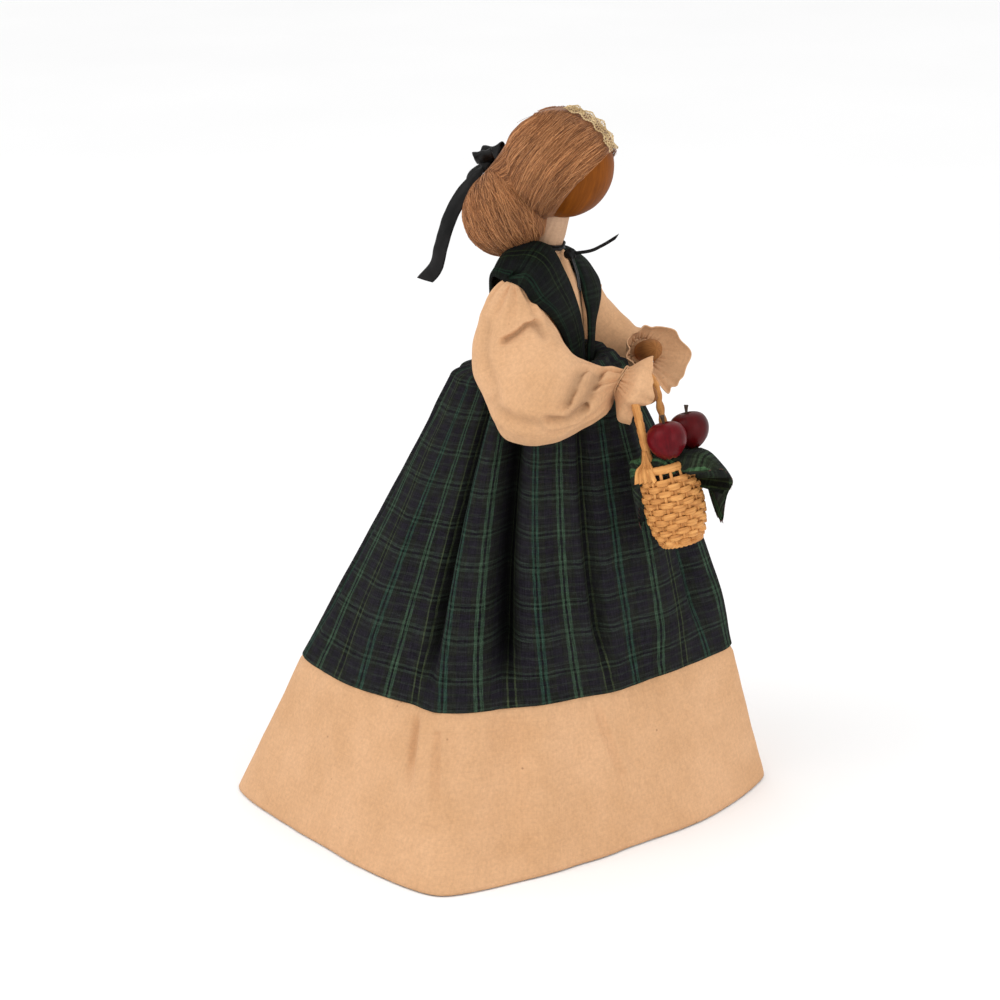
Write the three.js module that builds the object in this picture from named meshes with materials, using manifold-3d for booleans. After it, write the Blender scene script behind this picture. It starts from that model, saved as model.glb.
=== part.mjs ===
// Faceless folk art doll: wooden ball head, cloth clothes over a card cone, and a woven basket of apples.
// Millimetres, +Z up. The doll stands on Z = 0 with its hem round the origin and faces -Y; its right is -X.
import * as THREE from 'three';
import { mergeVertices } from 'three/addons/utils/BufferGeometryUtils.js';
import Module from 'manifold-3d';

const wasm = await Module();
wasm.setup();

// Fits
const GAP = 0.3;
const CLOTH = 1.2;
const RIBBON_WIDTH = 6.35;
const RIBBON = 0.9;

// Skirt, border and the card cone inside
const BORDER_HEIGHT = 58;
const SKIRT_RISE = 120;
const PUFF_DROP = 6;
const WAIST_FORWARD = 16.5;
const DISC_THICKNESS = 2;
const DISC_INSET = 6;
const CARD = 1.2;
const CONE_INSET = 3;
const CONE_TOP_RADIUS = 12;
const CONE_TOP_DROP = 10;
const PLUG_HEIGHT = 24;

// Each corner of the skirt at the hem, at the seam above the border and at the waist: its bearing from
// the doll's left in degrees, its reach from the middle, and how far the side that follows it dips in.
const SKIRT_CORNERS = [
  { hem: [20, 105, 20], seam: [24, 77, 13], waist: [28, 27, 0] },
  { hem: [112, 108.6, 12], seam: [113, 86.3, 3.5], waist: [116, 36, 0] },
  { hem: [176, 99.8, 0], seam: [165, 68, 0], waist: [150, 28.7, 0] },
  { hem: [187, 106, 7], seam: [172, 71.5, 5], waist: [158, 27, 0] },
  { hem: [238, 77.9, 2], seam: [233, 54.6, 0], waist: [222, 29, 0] },
  { hem: [266, 87.7, 2], seam: [264, 60.5, 2.7], waist: [255, 30, 0] },
  { hem: [295, 109.4, 20], seam: [295, 88, 13], waist: [292, 31, 0] },
];
// Soft hanging folds: bearing at the waist and at the seam, spread in degrees, and height.
const SKIRT_FOLDS = [
  { waist: 5, seam: 352, spread: 9, height: 4 },
  { waist: 52, seam: 58, spread: 10, height: 4 },
  { waist: 86, seam: 86, spread: 9, height: 3 },
  { waist: 134, seam: 140, spread: 9, height: 3 },
  { waist: 196, seam: 212, spread: 9, height: 3.5 },
  { waist: 226, seam: 240, spread: 10, height: 3.5 },
  { waist: 258, seam: 268, spread: 9, height: 4 },
  { waist: 324, seam: 325, spread: 10, height: 4 },
];
// Round rolls of cloth between creases: bearing at the seam, half width in degrees, and height.
const SKIRT_ROLLS = [
  { seam: 182.5, half: 11, height: 5 },
  { seam: 35, half: 9, height: 3 },
  { seam: 105, half: 9, height: 1.2 },
  { seam: 297.5, half: 10, height: 3 },
];
// Creases: bearing at the seam and depth.
const SKIRT_CREASES = [
  [170, 4.5], [195, 4.5], [240, 3.5], [25, 3], [45, 3], [70, 2.5], [95, 3], [115, 2], [285, 2.4], [310, 3],
  [340, 3],
];
const CREASE_SPREAD = 2.4;
const ROLL_TURN = { waist: 160, seam: 176 };
const FOLD_START = 0.2;
const WAIST_FOLD_SHARE = 0.35;
const SKIRT_BULGE = 4.5;
// The gathers above the waist line: rise, and the share of the way that the cloth turns in to the waistband.
const PUFF_ROWS = [[0, 0], [5, 0.03], [9, 0.25], [11, 0.5], [9, 0.8], [5, 1]];
const PUFF_AT_BACK = 0.45;
const SKIRT_SIDES = 72;
const SKIRT_ROWS = 5;
// Rows that the lining side of the skirt follows.
const LINING_ROWS = [0, 2];
const LINING_PUFF_ROWS = [0, 2, 3, 5];
const BORDER_ROWS = 3;

// Torso: height above the waist, half width and half depth
const TORSO_HEIGHT = 44;
const BODICE_ROWS = [
  [-8, 14, 13], [-2, 15.5, 15], [8, 18.5, 15.5], [22, 22, 13.5],
  [30, 23.5, 11.5], [36, 22.5, 9], [41, 18, 6.8], [43.5, 11, 6.9],
];
const BODICE_SIDES = 28;
const WAISTBAND_HEIGHT = 6;
const SPINE_RADIUS = 1.6;

// Vest: each station's depth in front of the body axis, height above the waist, inner edge and outer edge,
// then how far the outer edge turns in towards the body and droops.
const VEST_STATIONS = [
  [17.6, 6.8, 0.8, 13, 1.5, 1], [17.2, 16, 3, 18, 2.5, 3.5],
  [15, 27, 4.6, 23.5, 5, 6], [11, 38, 6.4, 25, 3.5, 10],
  [5, 47, 7.2, 25.2, 0, 10], [-3.5, 48, 7.2, 25.2, 0, 7.5], [-11, 45, 7.2, 25, 0, 4.5],
  [-14, 33, 6.5, 22.5, 0.5, 1.5], [-15.4, 20, 5.5, 20, 2, 1], [-17.2, 6.8, 3, 15, 2, 1],
];
const VEST_STEPS = 26;

// Head and hair
const NECK_RADIUS = 6.5;
const NECK_LENGTH = 14.3;
const NECK_TILT = 12.8;
const NECK_SIDES = 20;
const HEAD_RADIUS = 19;
const SPINE_IN_HEAD = 10;
const HAIR_DEPTH = 2;
const HAIR_SHIFT = 1.4;
const FACE_DROP = 38.5;
const FACE_HALF_ANGLE = 55.4;
const BUN_RADIUS = 17.5;
const BUN_SINK = 11.6;
const BUN_DROP = 38;
const BOW_RISE = 62;
const KNOT_RADIUS = 2.9;
const KNOT_SINK = 2.6;
const LACE_WIDTH = 10;
const LACE_DEPTH = 1.5;
const LACE_FROM = 18;
const LACE_TO = 84;
const COLLAR_RISE = 0.8;
const COLLAR_HEIGHT = 3.2;
const TIE_KNOT_RADIUS = 2.2;
const TIE_DROP = 2.4;
const TIE_TAIL_RADIUS = 0.7;

// Ribbon routes, as offsets from the knot that they leave, chosen by hand
const HAIR_TAIL_NEAR = [
  [-2, 3.4, -1.8], [-3.5, 6.4, -6.6], [-4, 10.6, -17], [-4.5, 14.2, -28.4], [-4, 17.6, -38], [-3, 24, -45],
];
const HAIR_TAIL_FAR = [[3.4, 3.6, -1.8], [5, 8, -6.6], [9, 9.6, -15], [12, 8.4, -24.5], [14, 7.4, -32.5]];
const HAIR_LOOP_NEAR = [
  [-2.9, 0.2, 1], [-4.6, 0.4, 2.6], [-6.6, -0.4, 3.6], [-8.2, -1.6, 2.6], [-6, -1, 0.6],
];
const TIE_TAIL_FRONT = [[0, -2.6, 0.6], [0, -8, 1.8], [0, -13, 4.4], [0, -18.5, 8]];
const TIE_TAIL_DOWN = [[0, -1.4, -1.8], [0, -4.2, -7], [0.4, -5.6, -12.5]];

// Arms: the sleeve's rings fan about a bend line in front of the chest, and the arm turns on the shoulder.
const SHOULDER_OUT = 30;
const SHOULDER_BACK = 4.5;
const SHOULDER_DROP = 17;
const BEND_FORWARD = 36;
const BEND_DROP = 2;
// Each ring: angle about the bend line, reach from it, half depth, distance from the middle, half width.
const SLEEVE_RINGS = {
  right: [
    [-25, 34, 3, 33.5, 3.4], [-16, 31, 9, 34.5, 8], [-5, 30, 12.2, 36, 10.5], [7, 29.5, 15.8, 38, 12.2],
    [22, 29.4, 17.8, 41, 13.5], [38, 28.8, 18.6, 44, 14.5], [56, 30.8, 20.6, 44.5, 14.5],
    [71, 29, 17.2, 41, 13.2], [84, 27, 12.4, 34, 10.5], [95, 25.6, 8.2, 26.5, 7.4],
    [104, 24.6, 5.2, 19.5, 5.2],
  ],
  left: [
    [-25, 34, 3, 33.5, 3.4], [-16, 34, 6.4, 34.5, 8], [-5, 33, 9.4, 36, 10.5], [7, 33.4, 11.2, 38, 12.2],
    [22, 34, 12.8, 41, 13.5], [38, 34.3, 12.8, 44, 14.5], [56, 35.4, 14, 44.5, 14.5],
    [71, 33.2, 12, 41.5, 13.2], [81, 30.4, 9.2, 35.5, 10], [88, 26.5, 7, 29, 7.2], [93, 23.5, 5.2, 22, 5.2],
  ],
};
const SLEEVE_SIDES = 20;
const WIRE_RADIUS = 1.1;
const WIRE_INNER = 12;
const HAND_AIM = { right: [0, -0.92, -0.38], left: [-0.72, -0.59, 0.35] };
const HAND_RADIUS = 4.3;
const HAND_LENGTH = 14.5;
const HAND_BORE_DEPTH = 7;
const CUFF_THROAT = 6.3;
// Ruffles: the bearing of the long lip about the hand, the length and flare at the long and short lips, and
// the cosines off the long lip between which the one gives way to the other.
const CUFFS = {
  right: { lip: 60, long: [13, 8.5], short: [4.5, 6], fade: [0.2, 0.9] },
  left: { lip: 225, long: [14.6, 6.2], short: [7, 2.7], fade: [-0.3, 0.7] },
};
const CUFF_WAVES = 6;
const CUFF_WAVE = 1.1;
const CUFF_WALL = 0.9;
const CUFF_SIDES = 30;
const TIE_THREAD = 0.6;

// Basket: height, half width across the handle and half width the other way
const BASKET_ROWS = [[0, 8.6, 6.8], [5, 11.4, 9.3], [12, 13, 10.5], [20, 13, 10.5], [29, 12.2, 9.4]];
const BASKET_WALL = 1.4;
const BASKET_FLOOR = 1.6;
const STAKES = 16;
const WEAVER_ROWS = 9;
const WEAVE_DEPTH = 0.55;
const HANDLE_RADIUS = 1.6;
const HANDLE_HEIGHT = 65;
const HANDLE_FOOT = 14;
const HANDLE_TAPER = 0.85;
const HANDLE_TURNS = 9;
const HANDLE_TWIST = 0.13;
const ROUND_ARCH = 0.5523;
const HANDLE_ON_HAND = 8.2;
const HANDLE_BACK = 2.4;
const HANDLE_SEAT = 0.5;
const BASKET_TILT = 15;
const BASKET_YAW = -13;
const RIM_RADIUS = 1.1;
const WALL_BREAKS = [0.6, 0.3];
const NAPKIN_RISE = 2.9;
// Napkin corners: bearing round the basket, how far each hangs, stands off and spreads.
const NAPKIN_CORNERS = [
  { bearing: 266, hang: 1, flare: 16.5, spread: 20 },
  { bearing: 312, hang: 24, flare: 5, spread: 18 },
  { bearing: 20, hang: 8, flare: 1.5, spread: 34 },
  { bearing: 105, hang: 13, flare: 0.6, spread: 34 },
  { bearing: 225, hang: 2, flare: 2, spread: 24 },
];
const NAPKIN_EDGE = 2.2;
const APPLE_RADIUS = 7.5;
const APPLE_HEIGHT = 13.2;
const APPLE_DIMPLE = 1.8;
const APPLES = { apple_front: [8, -8.2], apple_rear: [-7.6, -7.4] };
const STEM_RADIUS = 0.9;
const STEM_LENGTH = 4;

// Colours, from the photograph
const COLOURS = {
  muslin: 0xe3bd92, tartan: 0x1c2b2c, hair: 0x9a5b38, face: 0x9c5426, hand: 0x8a5a36, neck: 0xd9c3ae,
  satin: 0x101012, lace: 0xcdb488, straw: 0xcf9f5e, apple: 0x6b1118, stem: 0x3a2415, card: 0xb99a6f,
  wood: 0xc79a66, wire: 0x8d8f92,
};

const vec = (x, y, z) => new THREE.Vector3(x, y, z);
const rad = THREE.MathUtils.degToRad;
const { lerp } = THREE.MathUtils;
const UP = vec(0, 0, 1);

const doll = new THREE.Group();

function finish(colour, roughness, metalness = 0) {
  return new THREE.MeshStandardMaterial({ color: COLOURS[colour], roughness, metalness });
}

function add(name, geometry, material, parent = doll) {
  const mesh = new THREE.Mesh(geometry, material);
  mesh.name = name;
  parent.add(mesh);
  return mesh;
}

// Shape helpers

function volumeOf(points, faces) {
  let sum = 0;
  for (const [a, b, c] of faces) sum += points[a].dot(points[b].clone().cross(points[c]));
  return sum / 6;
}

// A closed body through rings of equal count: its ends are capped, or it runs back to its first ring.
function loft(rings, closed = false) {
  const sides = rings[0].length;
  const points = rings.flat();
  const faces = [];
  const last = closed ? rings.length : rings.length - 1;
  for (let i = 0; i < last; i += 1) {
    const from = i * sides;
    const to = ((i + 1) % rings.length) * sides;
    for (let j = 0; j < sides; j += 1) {
      const k = (j + 1) % sides;
      faces.push([from + j, from + k, to + k], [from + j, to + k, to + j]);
    }
  }
  if (!closed) {
    const ends = [[rings[0], 0, true], [rings.at(-1), (rings.length - 1) * sides, false]];
    for (const [ring, start, flip] of ends) {
      const middle = ring.reduce((sum, point) => sum.add(point), vec(0, 0, 0)).divideScalar(sides);
      points.push(middle);
      const centre = points.length - 1;
      for (let j = 0; j < sides; j += 1) {
        const k = (j + 1) % sides;
        faces.push(flip ? [centre, start + k, start + j] : [centre, start + j, start + k]);
      }
    }
  }
  const outward = volumeOf(points, faces) > 0 ? faces : faces.map(([a, b, c]) => [a, c, b]);
  const geometry = new THREE.BufferGeometry();
  geometry.setAttribute('position', new THREE.Float32BufferAttribute(points.flatMap((p) => p.toArray()), 3));
  geometry.setIndex(outward.flat());
  return geometry;
}

function ellipse(centre, alongX, alongY, sides) {
  return Array.from({ length: sides }, (_, j) => {
    const turn = (2 * Math.PI * j) / sides;
    return vec(alongX * Math.cos(turn), alongY * Math.sin(turn), 0).add(centre);
  });
}

// A body turned about +Z from [radius, height] points that start and end on the axis.
function turned(profile, segments) {
  const points = profile.map(([radius, height]) => new THREE.Vector2(radius, height));
  return new THREE.LatheGeometry(points, segments).rotateX(Math.PI / 2);
}

function ballProfile(radius, steps, from = -90, to = 90) {
  return Array.from({ length: steps + 1 }, (_, i) => {
    const angle = rad(lerp(from, to, i / steps));
    return [Math.max(0, radius * Math.cos(angle)), radius * Math.sin(angle)];
  });
}

function ball(centre, radius, segments, steps) {
  const profile = ballProfile(radius, steps);
  profile[0][0] = 0;
  profile[steps][0] = 0;
  return turned(profile, segments).translate(...centre.toArray());
}

// A round rod along a smooth path.
function rod(path, radius, sides, steps) {
  const section = new THREE.Shape();
  for (let j = 0; j < sides; j += 1) {
    const turn = (2 * Math.PI * j) / sides;
    section[j ? 'lineTo' : 'moveTo'](radius * Math.cos(turn), radius * Math.sin(turn));
  }
  section.closePath();
  return new THREE.ExtrudeGeometry(section, { steps, bevelEnabled: false, extrudePath: path });
}

// A flat ribbon along a smooth path, its width along `across`.
function ribbon(path, width, thickness, across, steps) {
  const rings = [];
  for (let i = 0; i <= steps; i += 1) {
    const middle = path.getPointAt(i / steps);
    const along = path.getTangentAt(i / steps);
    const side = across.clone().addScaledVector(along, -across.dot(along)).normalize();
    const out = along.clone().cross(side).normalize();
    rings.push([[-1, -1], [1, -1], [1, 1], [-1, 1]].map(([s, o]) => middle.clone()
      .addScaledVector(side, (s * width) / 2)
      .addScaledVector(out, (o * thickness) / 2)));
  }
  return loft(rings);
}

function routed(start, offsets) {
  return new THREE.CatmullRomCurve3(offsets.map((offset) => vec(...offset).add(start)));
}

function solidOf(geometry) {
  const bare = geometry.clone();
  bare.deleteAttribute('normal');
  bare.deleteAttribute('uv');
  const merged = mergeVertices(bare, 1e-4);
  return new wasm.Manifold(new wasm.Mesh({
    numProp: 3,
    vertProperties: new Float32Array(merged.attributes.position.array),
    triVerts: new Uint32Array(merged.index.array),
  }));
}

function geometryOf(solid) {
  const mesh = solid.getMesh();
  const geometry = new THREE.BufferGeometry();
  geometry.setAttribute('position', new THREE.Float32BufferAttribute(mesh.vertProperties, 3));
  geometry.setIndex(Array.from(mesh.triVerts));
  return geometry;
}

function cut(geometry, ...cutters) {
  const left = cutters.reduce((solid, cutter) => solid.subtract(solidOf(cutter)), solidOf(geometry));
  return geometryOf(left);
}

// Skirt surface, shared by the skirt, the border and what stands inside

const seamHeight = BORDER_HEIGHT;
const waistHeight = BORDER_HEIGHT + SKIRT_RISE;
const puffHeight = waistHeight - PUFF_DROP;

function axisAt(height) {
  return vec(0, -WAIST_FORWARD * Math.min(1, height / puffHeight), height);
}

function cornersAt(height) {
  const belowSeam = height < seamHeight;
  const [low, high] = belowSeam ? ['hem', 'seam'] : ['seam', 'waist'];
  const share = belowSeam ? height / seamHeight : (height - seamHeight) / (puffHeight - seamHeight);
  const rise = Math.min(1, share);
  return SKIRT_CORNERS.map((corner) => corner[low].map((value, i) => lerp(value, corner[high][i], rise)));
}

function outlineReach(bearing, corners) {
  for (let i = 0; i < corners.length; i += 1) {
    const [start, reach, dip] = corners[i];
    const [end, nextReach] = corners[(i + 1) % corners.length];
    const span = (end - start + 360) % 360;
    const along = (bearing - start + 360) % 360;
    if (along <= span) return lerp(reach, nextReach, along / span) - dip * Math.sin((Math.PI * along) / span);
  }
  return 0;
}

const bearingOff = (bearing, from) => THREE.MathUtils.euclideanModulo(bearing - from + 180, 360) - 180;

// How far the cloth at a seam bearing turns round the doll on its way up to the waist.
const foldTurns = [...SKIRT_FOLDS, ROLL_TURN]
  .map(({ waist, seam }) => [seam, bearingOff(waist, seam)])
  .sort((one, other) => one[0] - other[0]);

function turnToWaist(seat) {
  for (let i = 0; i < foldTurns.length; i += 1) {
    const [start, turn] = foldTurns[i];
    const [end, nextTurn] = foldTurns[(i + 1) % foldTurns.length];
    const span = THREE.MathUtils.euclideanModulo(end - start, 360);
    const along = THREE.MathUtils.euclideanModulo(seat - start, 360);
    if (along <= span) return lerp(turn, nextTurn, THREE.MathUtils.smoothstep(along, 0, span));
  }
  return 0;
}

function foldAt(seat, rise) {
  const strength = THREE.MathUtils.smoothstep(rise, 0, FOLD_START) * lerp(1, WAIST_FOLD_SHARE, rise);
  let sum = 0;
  for (const fold of SKIRT_FOLDS) {
    sum += fold.height * Math.exp(-((bearingOff(seat, fold.seam) / fold.spread) ** 2));
  }
  for (const roll of SKIRT_ROLLS) {
    sum += roll.height * Math.max(0, 1 - (bearingOff(seat, roll.seam) / roll.half) ** 2);
  }
  for (const [seam, depth] of SKIRT_CREASES) {
    sum -= depth * Math.exp(-((bearingOff(seat, seam) / CREASE_SPREAD) ** 2));
  }
  return sum * strength;
}

function skirtRing(height, inset) {
  const corners = cornersAt(height);
  const axis = axisAt(height);
  const rise = THREE.MathUtils.clamp((height - seamHeight) / (puffHeight - seamHeight), 0, 1);
  return Array.from({ length: SKIRT_SIDES }, (_, j) => {
    const seat = (360 * j) / SKIRT_SIDES;
    const bearing = THREE.MathUtils.euclideanModulo(seat + turnToWaist(seat) * rise, 360);
    const bulge = SKIRT_BULGE * Math.sin(Math.PI * rise) * Math.max(0, -Math.sin(rad(bearing)));
    const reach = outlineReach(bearing, corners) + bulge + foldAt(seat, rise) - inset;
    return vec(reach * Math.cos(rad(bearing)), reach * Math.sin(rad(bearing)), 0).add(axis);
  });
}

function puffRing([rise, share], inset) {
  const axis = axisAt(puffHeight);
  return skirtRing(puffHeight, 0).map((point) => {
    const out = point.sub(axis);
    const reach = out.length();
    const back = Math.max(0, out.y / reach);
    const height = rise * lerp(1, PUFF_AT_BACK, back);
    const seat = bandReach(out, height - PUFF_DROP) + GAP + CLOTH;
    out.setLength(lerp(reach, seat, share) - inset);
    return out.add(axis).addScaledVector(UP, height - (share > 0.1 ? inset : 0));
  });
}

function steps(from, to, count) {
  return Array.from({ length: count + 1 }, (_, i) => lerp(from, to, i / count));
}

function makeSkirt() {
  const heights = steps(seamHeight + GAP, puffHeight, SKIRT_ROWS).slice(0, -1);
  const outer = [...heights.map((z) => skirtRing(z, 0)), ...PUFF_ROWS.map((row) => puffRing(row, 0))];
  const inner = [
    ...LINING_ROWS.map((row) => skirtRing(heights[row], CLOTH)),
    ...LINING_PUFF_ROWS.map((row) => puffRing(PUFF_ROWS[row], CLOTH)),
  ];
  add('skirt', loft([...outer, ...inner.reverse()], true), finish('tartan', 0.9));
}

function makeBorder() {
  const heights = steps(0, seamHeight, BORDER_ROWS);
  const outer = heights.map((z) => skirtRing(z, 0));
  const inner = heights.map((z) => skirtRing(z, CLOTH)).reverse();
  add('skirt_border', loft([...outer, ...inner], true), finish('muslin', 0.92));
}

const hemCorners = cornersAt(0);
const hemLeast = Math.min(...steps(0, 360, 180).map((bearing) => outlineReach(bearing % 360, hemCorners)));
const discRadius = hemLeast - CLOTH - DISC_INSET;
const coneFoot = DISC_THICKNESS + GAP;
const coneTop = waistHeight - CONE_TOP_DROP;

function coneRadius(height) {
  return lerp(discRadius - CONE_INSET, CONE_TOP_RADIUS, (height - coneFoot) / (coneTop - coneFoot));
}

function makeStand() {
  const disc = turned([[0, 0], [discRadius, 0], [discRadius, DISC_THICKNESS], [0, DISC_THICKNESS]], 48);
  add('base_disc', disc, finish('card', 0.9));
  const ring = (z, inset) => ellipse(axisAt(z), coneRadius(z) - inset, coneRadius(z) - inset, 36);
  const wall = [ring(coneFoot, 0), ring(coneTop, 0), ring(coneTop, CARD), ring(coneFoot, CARD)];
  add('body_cone', loft(wall, true), finish('card', 0.9));
  const plugFoot = coneTop - PLUG_HEIGHT;
  const plug = loft([ring(plugFoot, CARD + GAP), ring(coneTop, CARD + GAP)]);
  add('cone_plug', cut(plug, spine(SPINE_RADIUS + GAP)), finish('wood', 0.7));
}

// Torso, neck and head, each placed from the one below

const torsoAxis = -WAIST_FORWARD;
const neckBase = vec(0, torsoAxis, waistHeight + TORSO_HEIGHT);
const neckAim = vec(0, -Math.sin(rad(NECK_TILT)), Math.cos(rad(NECK_TILT)));
const headCentre = neckBase.clone().addScaledVector(neckAim, NECK_LENGTH + HEAD_RADIUS);
const hairRadius = HEAD_RADIUS + GAP + HAIR_DEPTH;
const faceAim = vec(0, -Math.cos(rad(FACE_DROP)), -Math.sin(rad(FACE_DROP)));
const hairCentre = headCentre.clone().addScaledVector(faceAim, -HAIR_SHIFT);
const bunAim = vec(0, Math.cos(rad(BUN_DROP)), -Math.sin(rad(BUN_DROP)));
const bowAim = vec(0, Math.cos(rad(BOW_RISE)), Math.sin(rad(BOW_RISE)));
const bunCentre = headCentre.clone().addScaledVector(bunAim, hairRadius + BUN_RADIUS - BUN_SINK);
const bowKnot = bunCentre.clone().addScaledVector(bowAim, BUN_RADIUS + GAP + KNOT_RADIUS - KNOT_SINK);

function spine(radius) {
  const foot = vec(0, torsoAxis, coneTop - PLUG_HEIGHT);
  const shoulder = neckBase.clone().addScaledVector(UP, -SPINE_RADIUS * 4);
  const neck = neckBase.clone().addScaledVector(neckAim, SPINE_RADIUS * 4);
  const depth = SPINE_IN_HEAD - HEAD_RADIUS + radius - SPINE_RADIUS;
  const tip = headCentre.clone().addScaledVector(neckAim, depth);
  const path = new THREE.CurvePath();
  path.add(new THREE.LineCurve3(foot, shoulder));
  path.add(new THREE.QuadraticBezierCurve3(shoulder, neckBase, neck));
  path.add(new THREE.LineCurve3(neck, tip));
  return rod(path, radius, 8, 16);
}

function bodiceForm(grow) {
  return loft(BODICE_ROWS.map(([rise, halfWidth, halfDepth], i) => {
    const end = i === BODICE_ROWS.length - 1 ? grow : 0;
    const centre = vec(0, torsoAxis, waistHeight + rise + end);
    return ellipse(centre, halfWidth + grow, halfDepth + grow, BODICE_SIDES);
  }));
}

function bodiceHalf(rise) {
  const next = BODICE_ROWS.findIndex((row) => row[0] >= rise);
  const [low, high] = [BODICE_ROWS[next - 1], BODICE_ROWS[next]];
  const share = (rise - low[0]) / (high[0] - low[0]);
  return [1, 2].map((column) => lerp(low[column], high[column], share));
}

function waistRing(rise, grow) {
  const [alongX, alongY] = bodiceHalf(rise);
  return ellipse(vec(0, torsoAxis, waistHeight + rise), alongX + grow, alongY + grow, BODICE_SIDES);
}

// How far the waistband reaches from the body axis along a level direction.
function bandReach(direction, rise) {
  const [alongX, alongY] = bodiceHalf(rise).map((half) => half + GAP + CLOTH);
  return direction.length() / Math.hypot(direction.x / alongX, direction.y / alongY);
}

const neckFoot = NECK_RADIUS * 0.25;
const neckTop = NECK_LENGTH + HEAD_RADIUS * 0.4;

// A ring round the tilted neck.
function neckRing(along, radius) {
  return ellipse(vec(0, 0, 0), radius, radius, NECK_SIDES).map((point) => point
    .applyAxisAngle(vec(1, 0, 0), rad(NECK_TILT)).add(neckBase).addScaledVector(neckAim, along));
}

function neckForm(grow) {
  return loft([neckRing(neckFoot - grow, NECK_RADIUS + grow), neckRing(neckTop, NECK_RADIUS + grow)]);
}

function makeTorso() {
  const sockets = [1, -1].map((side) => armSocket(side));
  add('bodice', cut(bodiceForm(0), spine(SPINE_RADIUS + GAP), ...sockets), finish('muslin', 0.92));
  add('spine_wire', spine(SPINE_RADIUS), finish('wire', 0.4, 1));
  const bends = BODICE_ROWS.map(([rise]) => rise).filter((rise) => rise > -WAISTBAND_HEIGHT && rise < 0);
  const rises = [-WAISTBAND_HEIGHT, ...bends, 0];
  const inner = rises.map((rise) => waistRing(rise, GAP));
  const outer = rises.map((rise) => waistRing(rise, GAP + CLOTH)).reverse();
  add('waistband', loft([...inner, ...outer], true), finish('tartan', 0.9));
}

function vestForm(side) {
  const inside = VEST_STATIONS
    .map(([depth, rise, inner]) => vec(side * inner, torsoAxis - depth, waistHeight + rise));
  const outside = VEST_STATIONS.map(([depth, rise, , outer, turnIn, droop]) => vec(
    side * outer,
    torsoAxis - depth + turnIn * Math.sign(depth),
    waistHeight + rise - droop,
  ));
  const edges = [inside, outside].map((points) => new THREE.CatmullRomCurve3(points));
  const rings = [];
  for (let i = 0; i <= VEST_STEPS; i += 1) {
    const [inner, outer] = edges.map((edge) => edge.getPoint(i / VEST_STEPS));
    const along = edges[0].getTangent(i / VEST_STEPS).add(edges[1].getTangent(i / VEST_STEPS)).normalize();
    const across = outer.clone().sub(inner).normalize();
    const away = along.cross(across).multiplyScalar(-side * CLOTH);
    const middle = inner.clone().add(outer).multiplyScalar(0.5).addScaledVector(away, 0.8);
    const face = [inner, middle, outer];
    const back = face.map((point) => point.clone().sub(away)).reverse();
    rings.push([...face, ...back]);
  }
  return loft(rings);
}

function makeVest() {
  const clear = [bodiceForm(GAP), neckForm(GAP), ball(bunCentre, BUN_RADIUS + GAP, 24, 14), collarForm(0)];
  for (const [name, side] of [['vest_right', -1], ['vest_left', 1]]) {
    add(name, cut(vestForm(side), ...clear), finish('tartan', 0.9));
  }
}

// The ribbon round the neck, or the room that it takes when no bore is given.
function collarForm(bore) {
  const low = neckFoot + COLLAR_RISE;
  const high = low + COLLAR_HEIGHT;
  const outside = NECK_RADIUS + GAP + RIBBON;
  if (!bore) return loft([neckRing(low - GAP, outside + GAP), neckRing(high + GAP, outside + GAP)]);
  const walls = [neckRing(low, outside), neckRing(high, outside), neckRing(high, bore), neckRing(low, bore)];
  return loft(walls, true);
}

function makeNeck() {
  const skull = ball(headCentre, HEAD_RADIUS + GAP, 28, 14);
  const cover = cut(neckForm(0), skull, spine(SPINE_RADIUS + GAP), bodiceForm(GAP));
  add('neck_cover', cover, finish('neck', 0.85));
  add('neck_ribbon', collarForm(NECK_RADIUS + GAP), finish('satin', 0.45));
  const knotRise = neckFoot + COLLAR_RISE + COLLAR_HEIGHT / 2 - TIE_DROP;
  const front = vec(0, -Math.cos(rad(NECK_TILT)), -Math.sin(rad(NECK_TILT)));
  const knotOut = NECK_RADIUS + GAP + RIBBON + GAP + TIE_KNOT_RADIUS;
  const knot = neckBase.clone().addScaledVector(neckAim, knotRise).addScaledVector(front, knotOut);
  const knotForm = ball(knot, TIE_KNOT_RADIUS, 12, 8);
  const clear = ball(knot, TIE_KNOT_RADIUS + GAP, 12, 8);
  add('neck_bow_knot', knotForm, finish('satin', 0.45));
  const thin = rod(routed(knot, TIE_TAIL_FRONT), TIE_TAIL_RADIUS, 6, 10);
  add('neck_bow_tail_front', cut(thin, clear), finish('satin', 0.45));
  const tail = ribbon(routed(knot, TIE_TAIL_DOWN), RIBBON_WIDTH / 2, RIBBON, vec(1, 0, 0), 6);
  add('neck_bow_tail_down', cut(tail, clear), finish('satin', 0.45));
}

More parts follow.
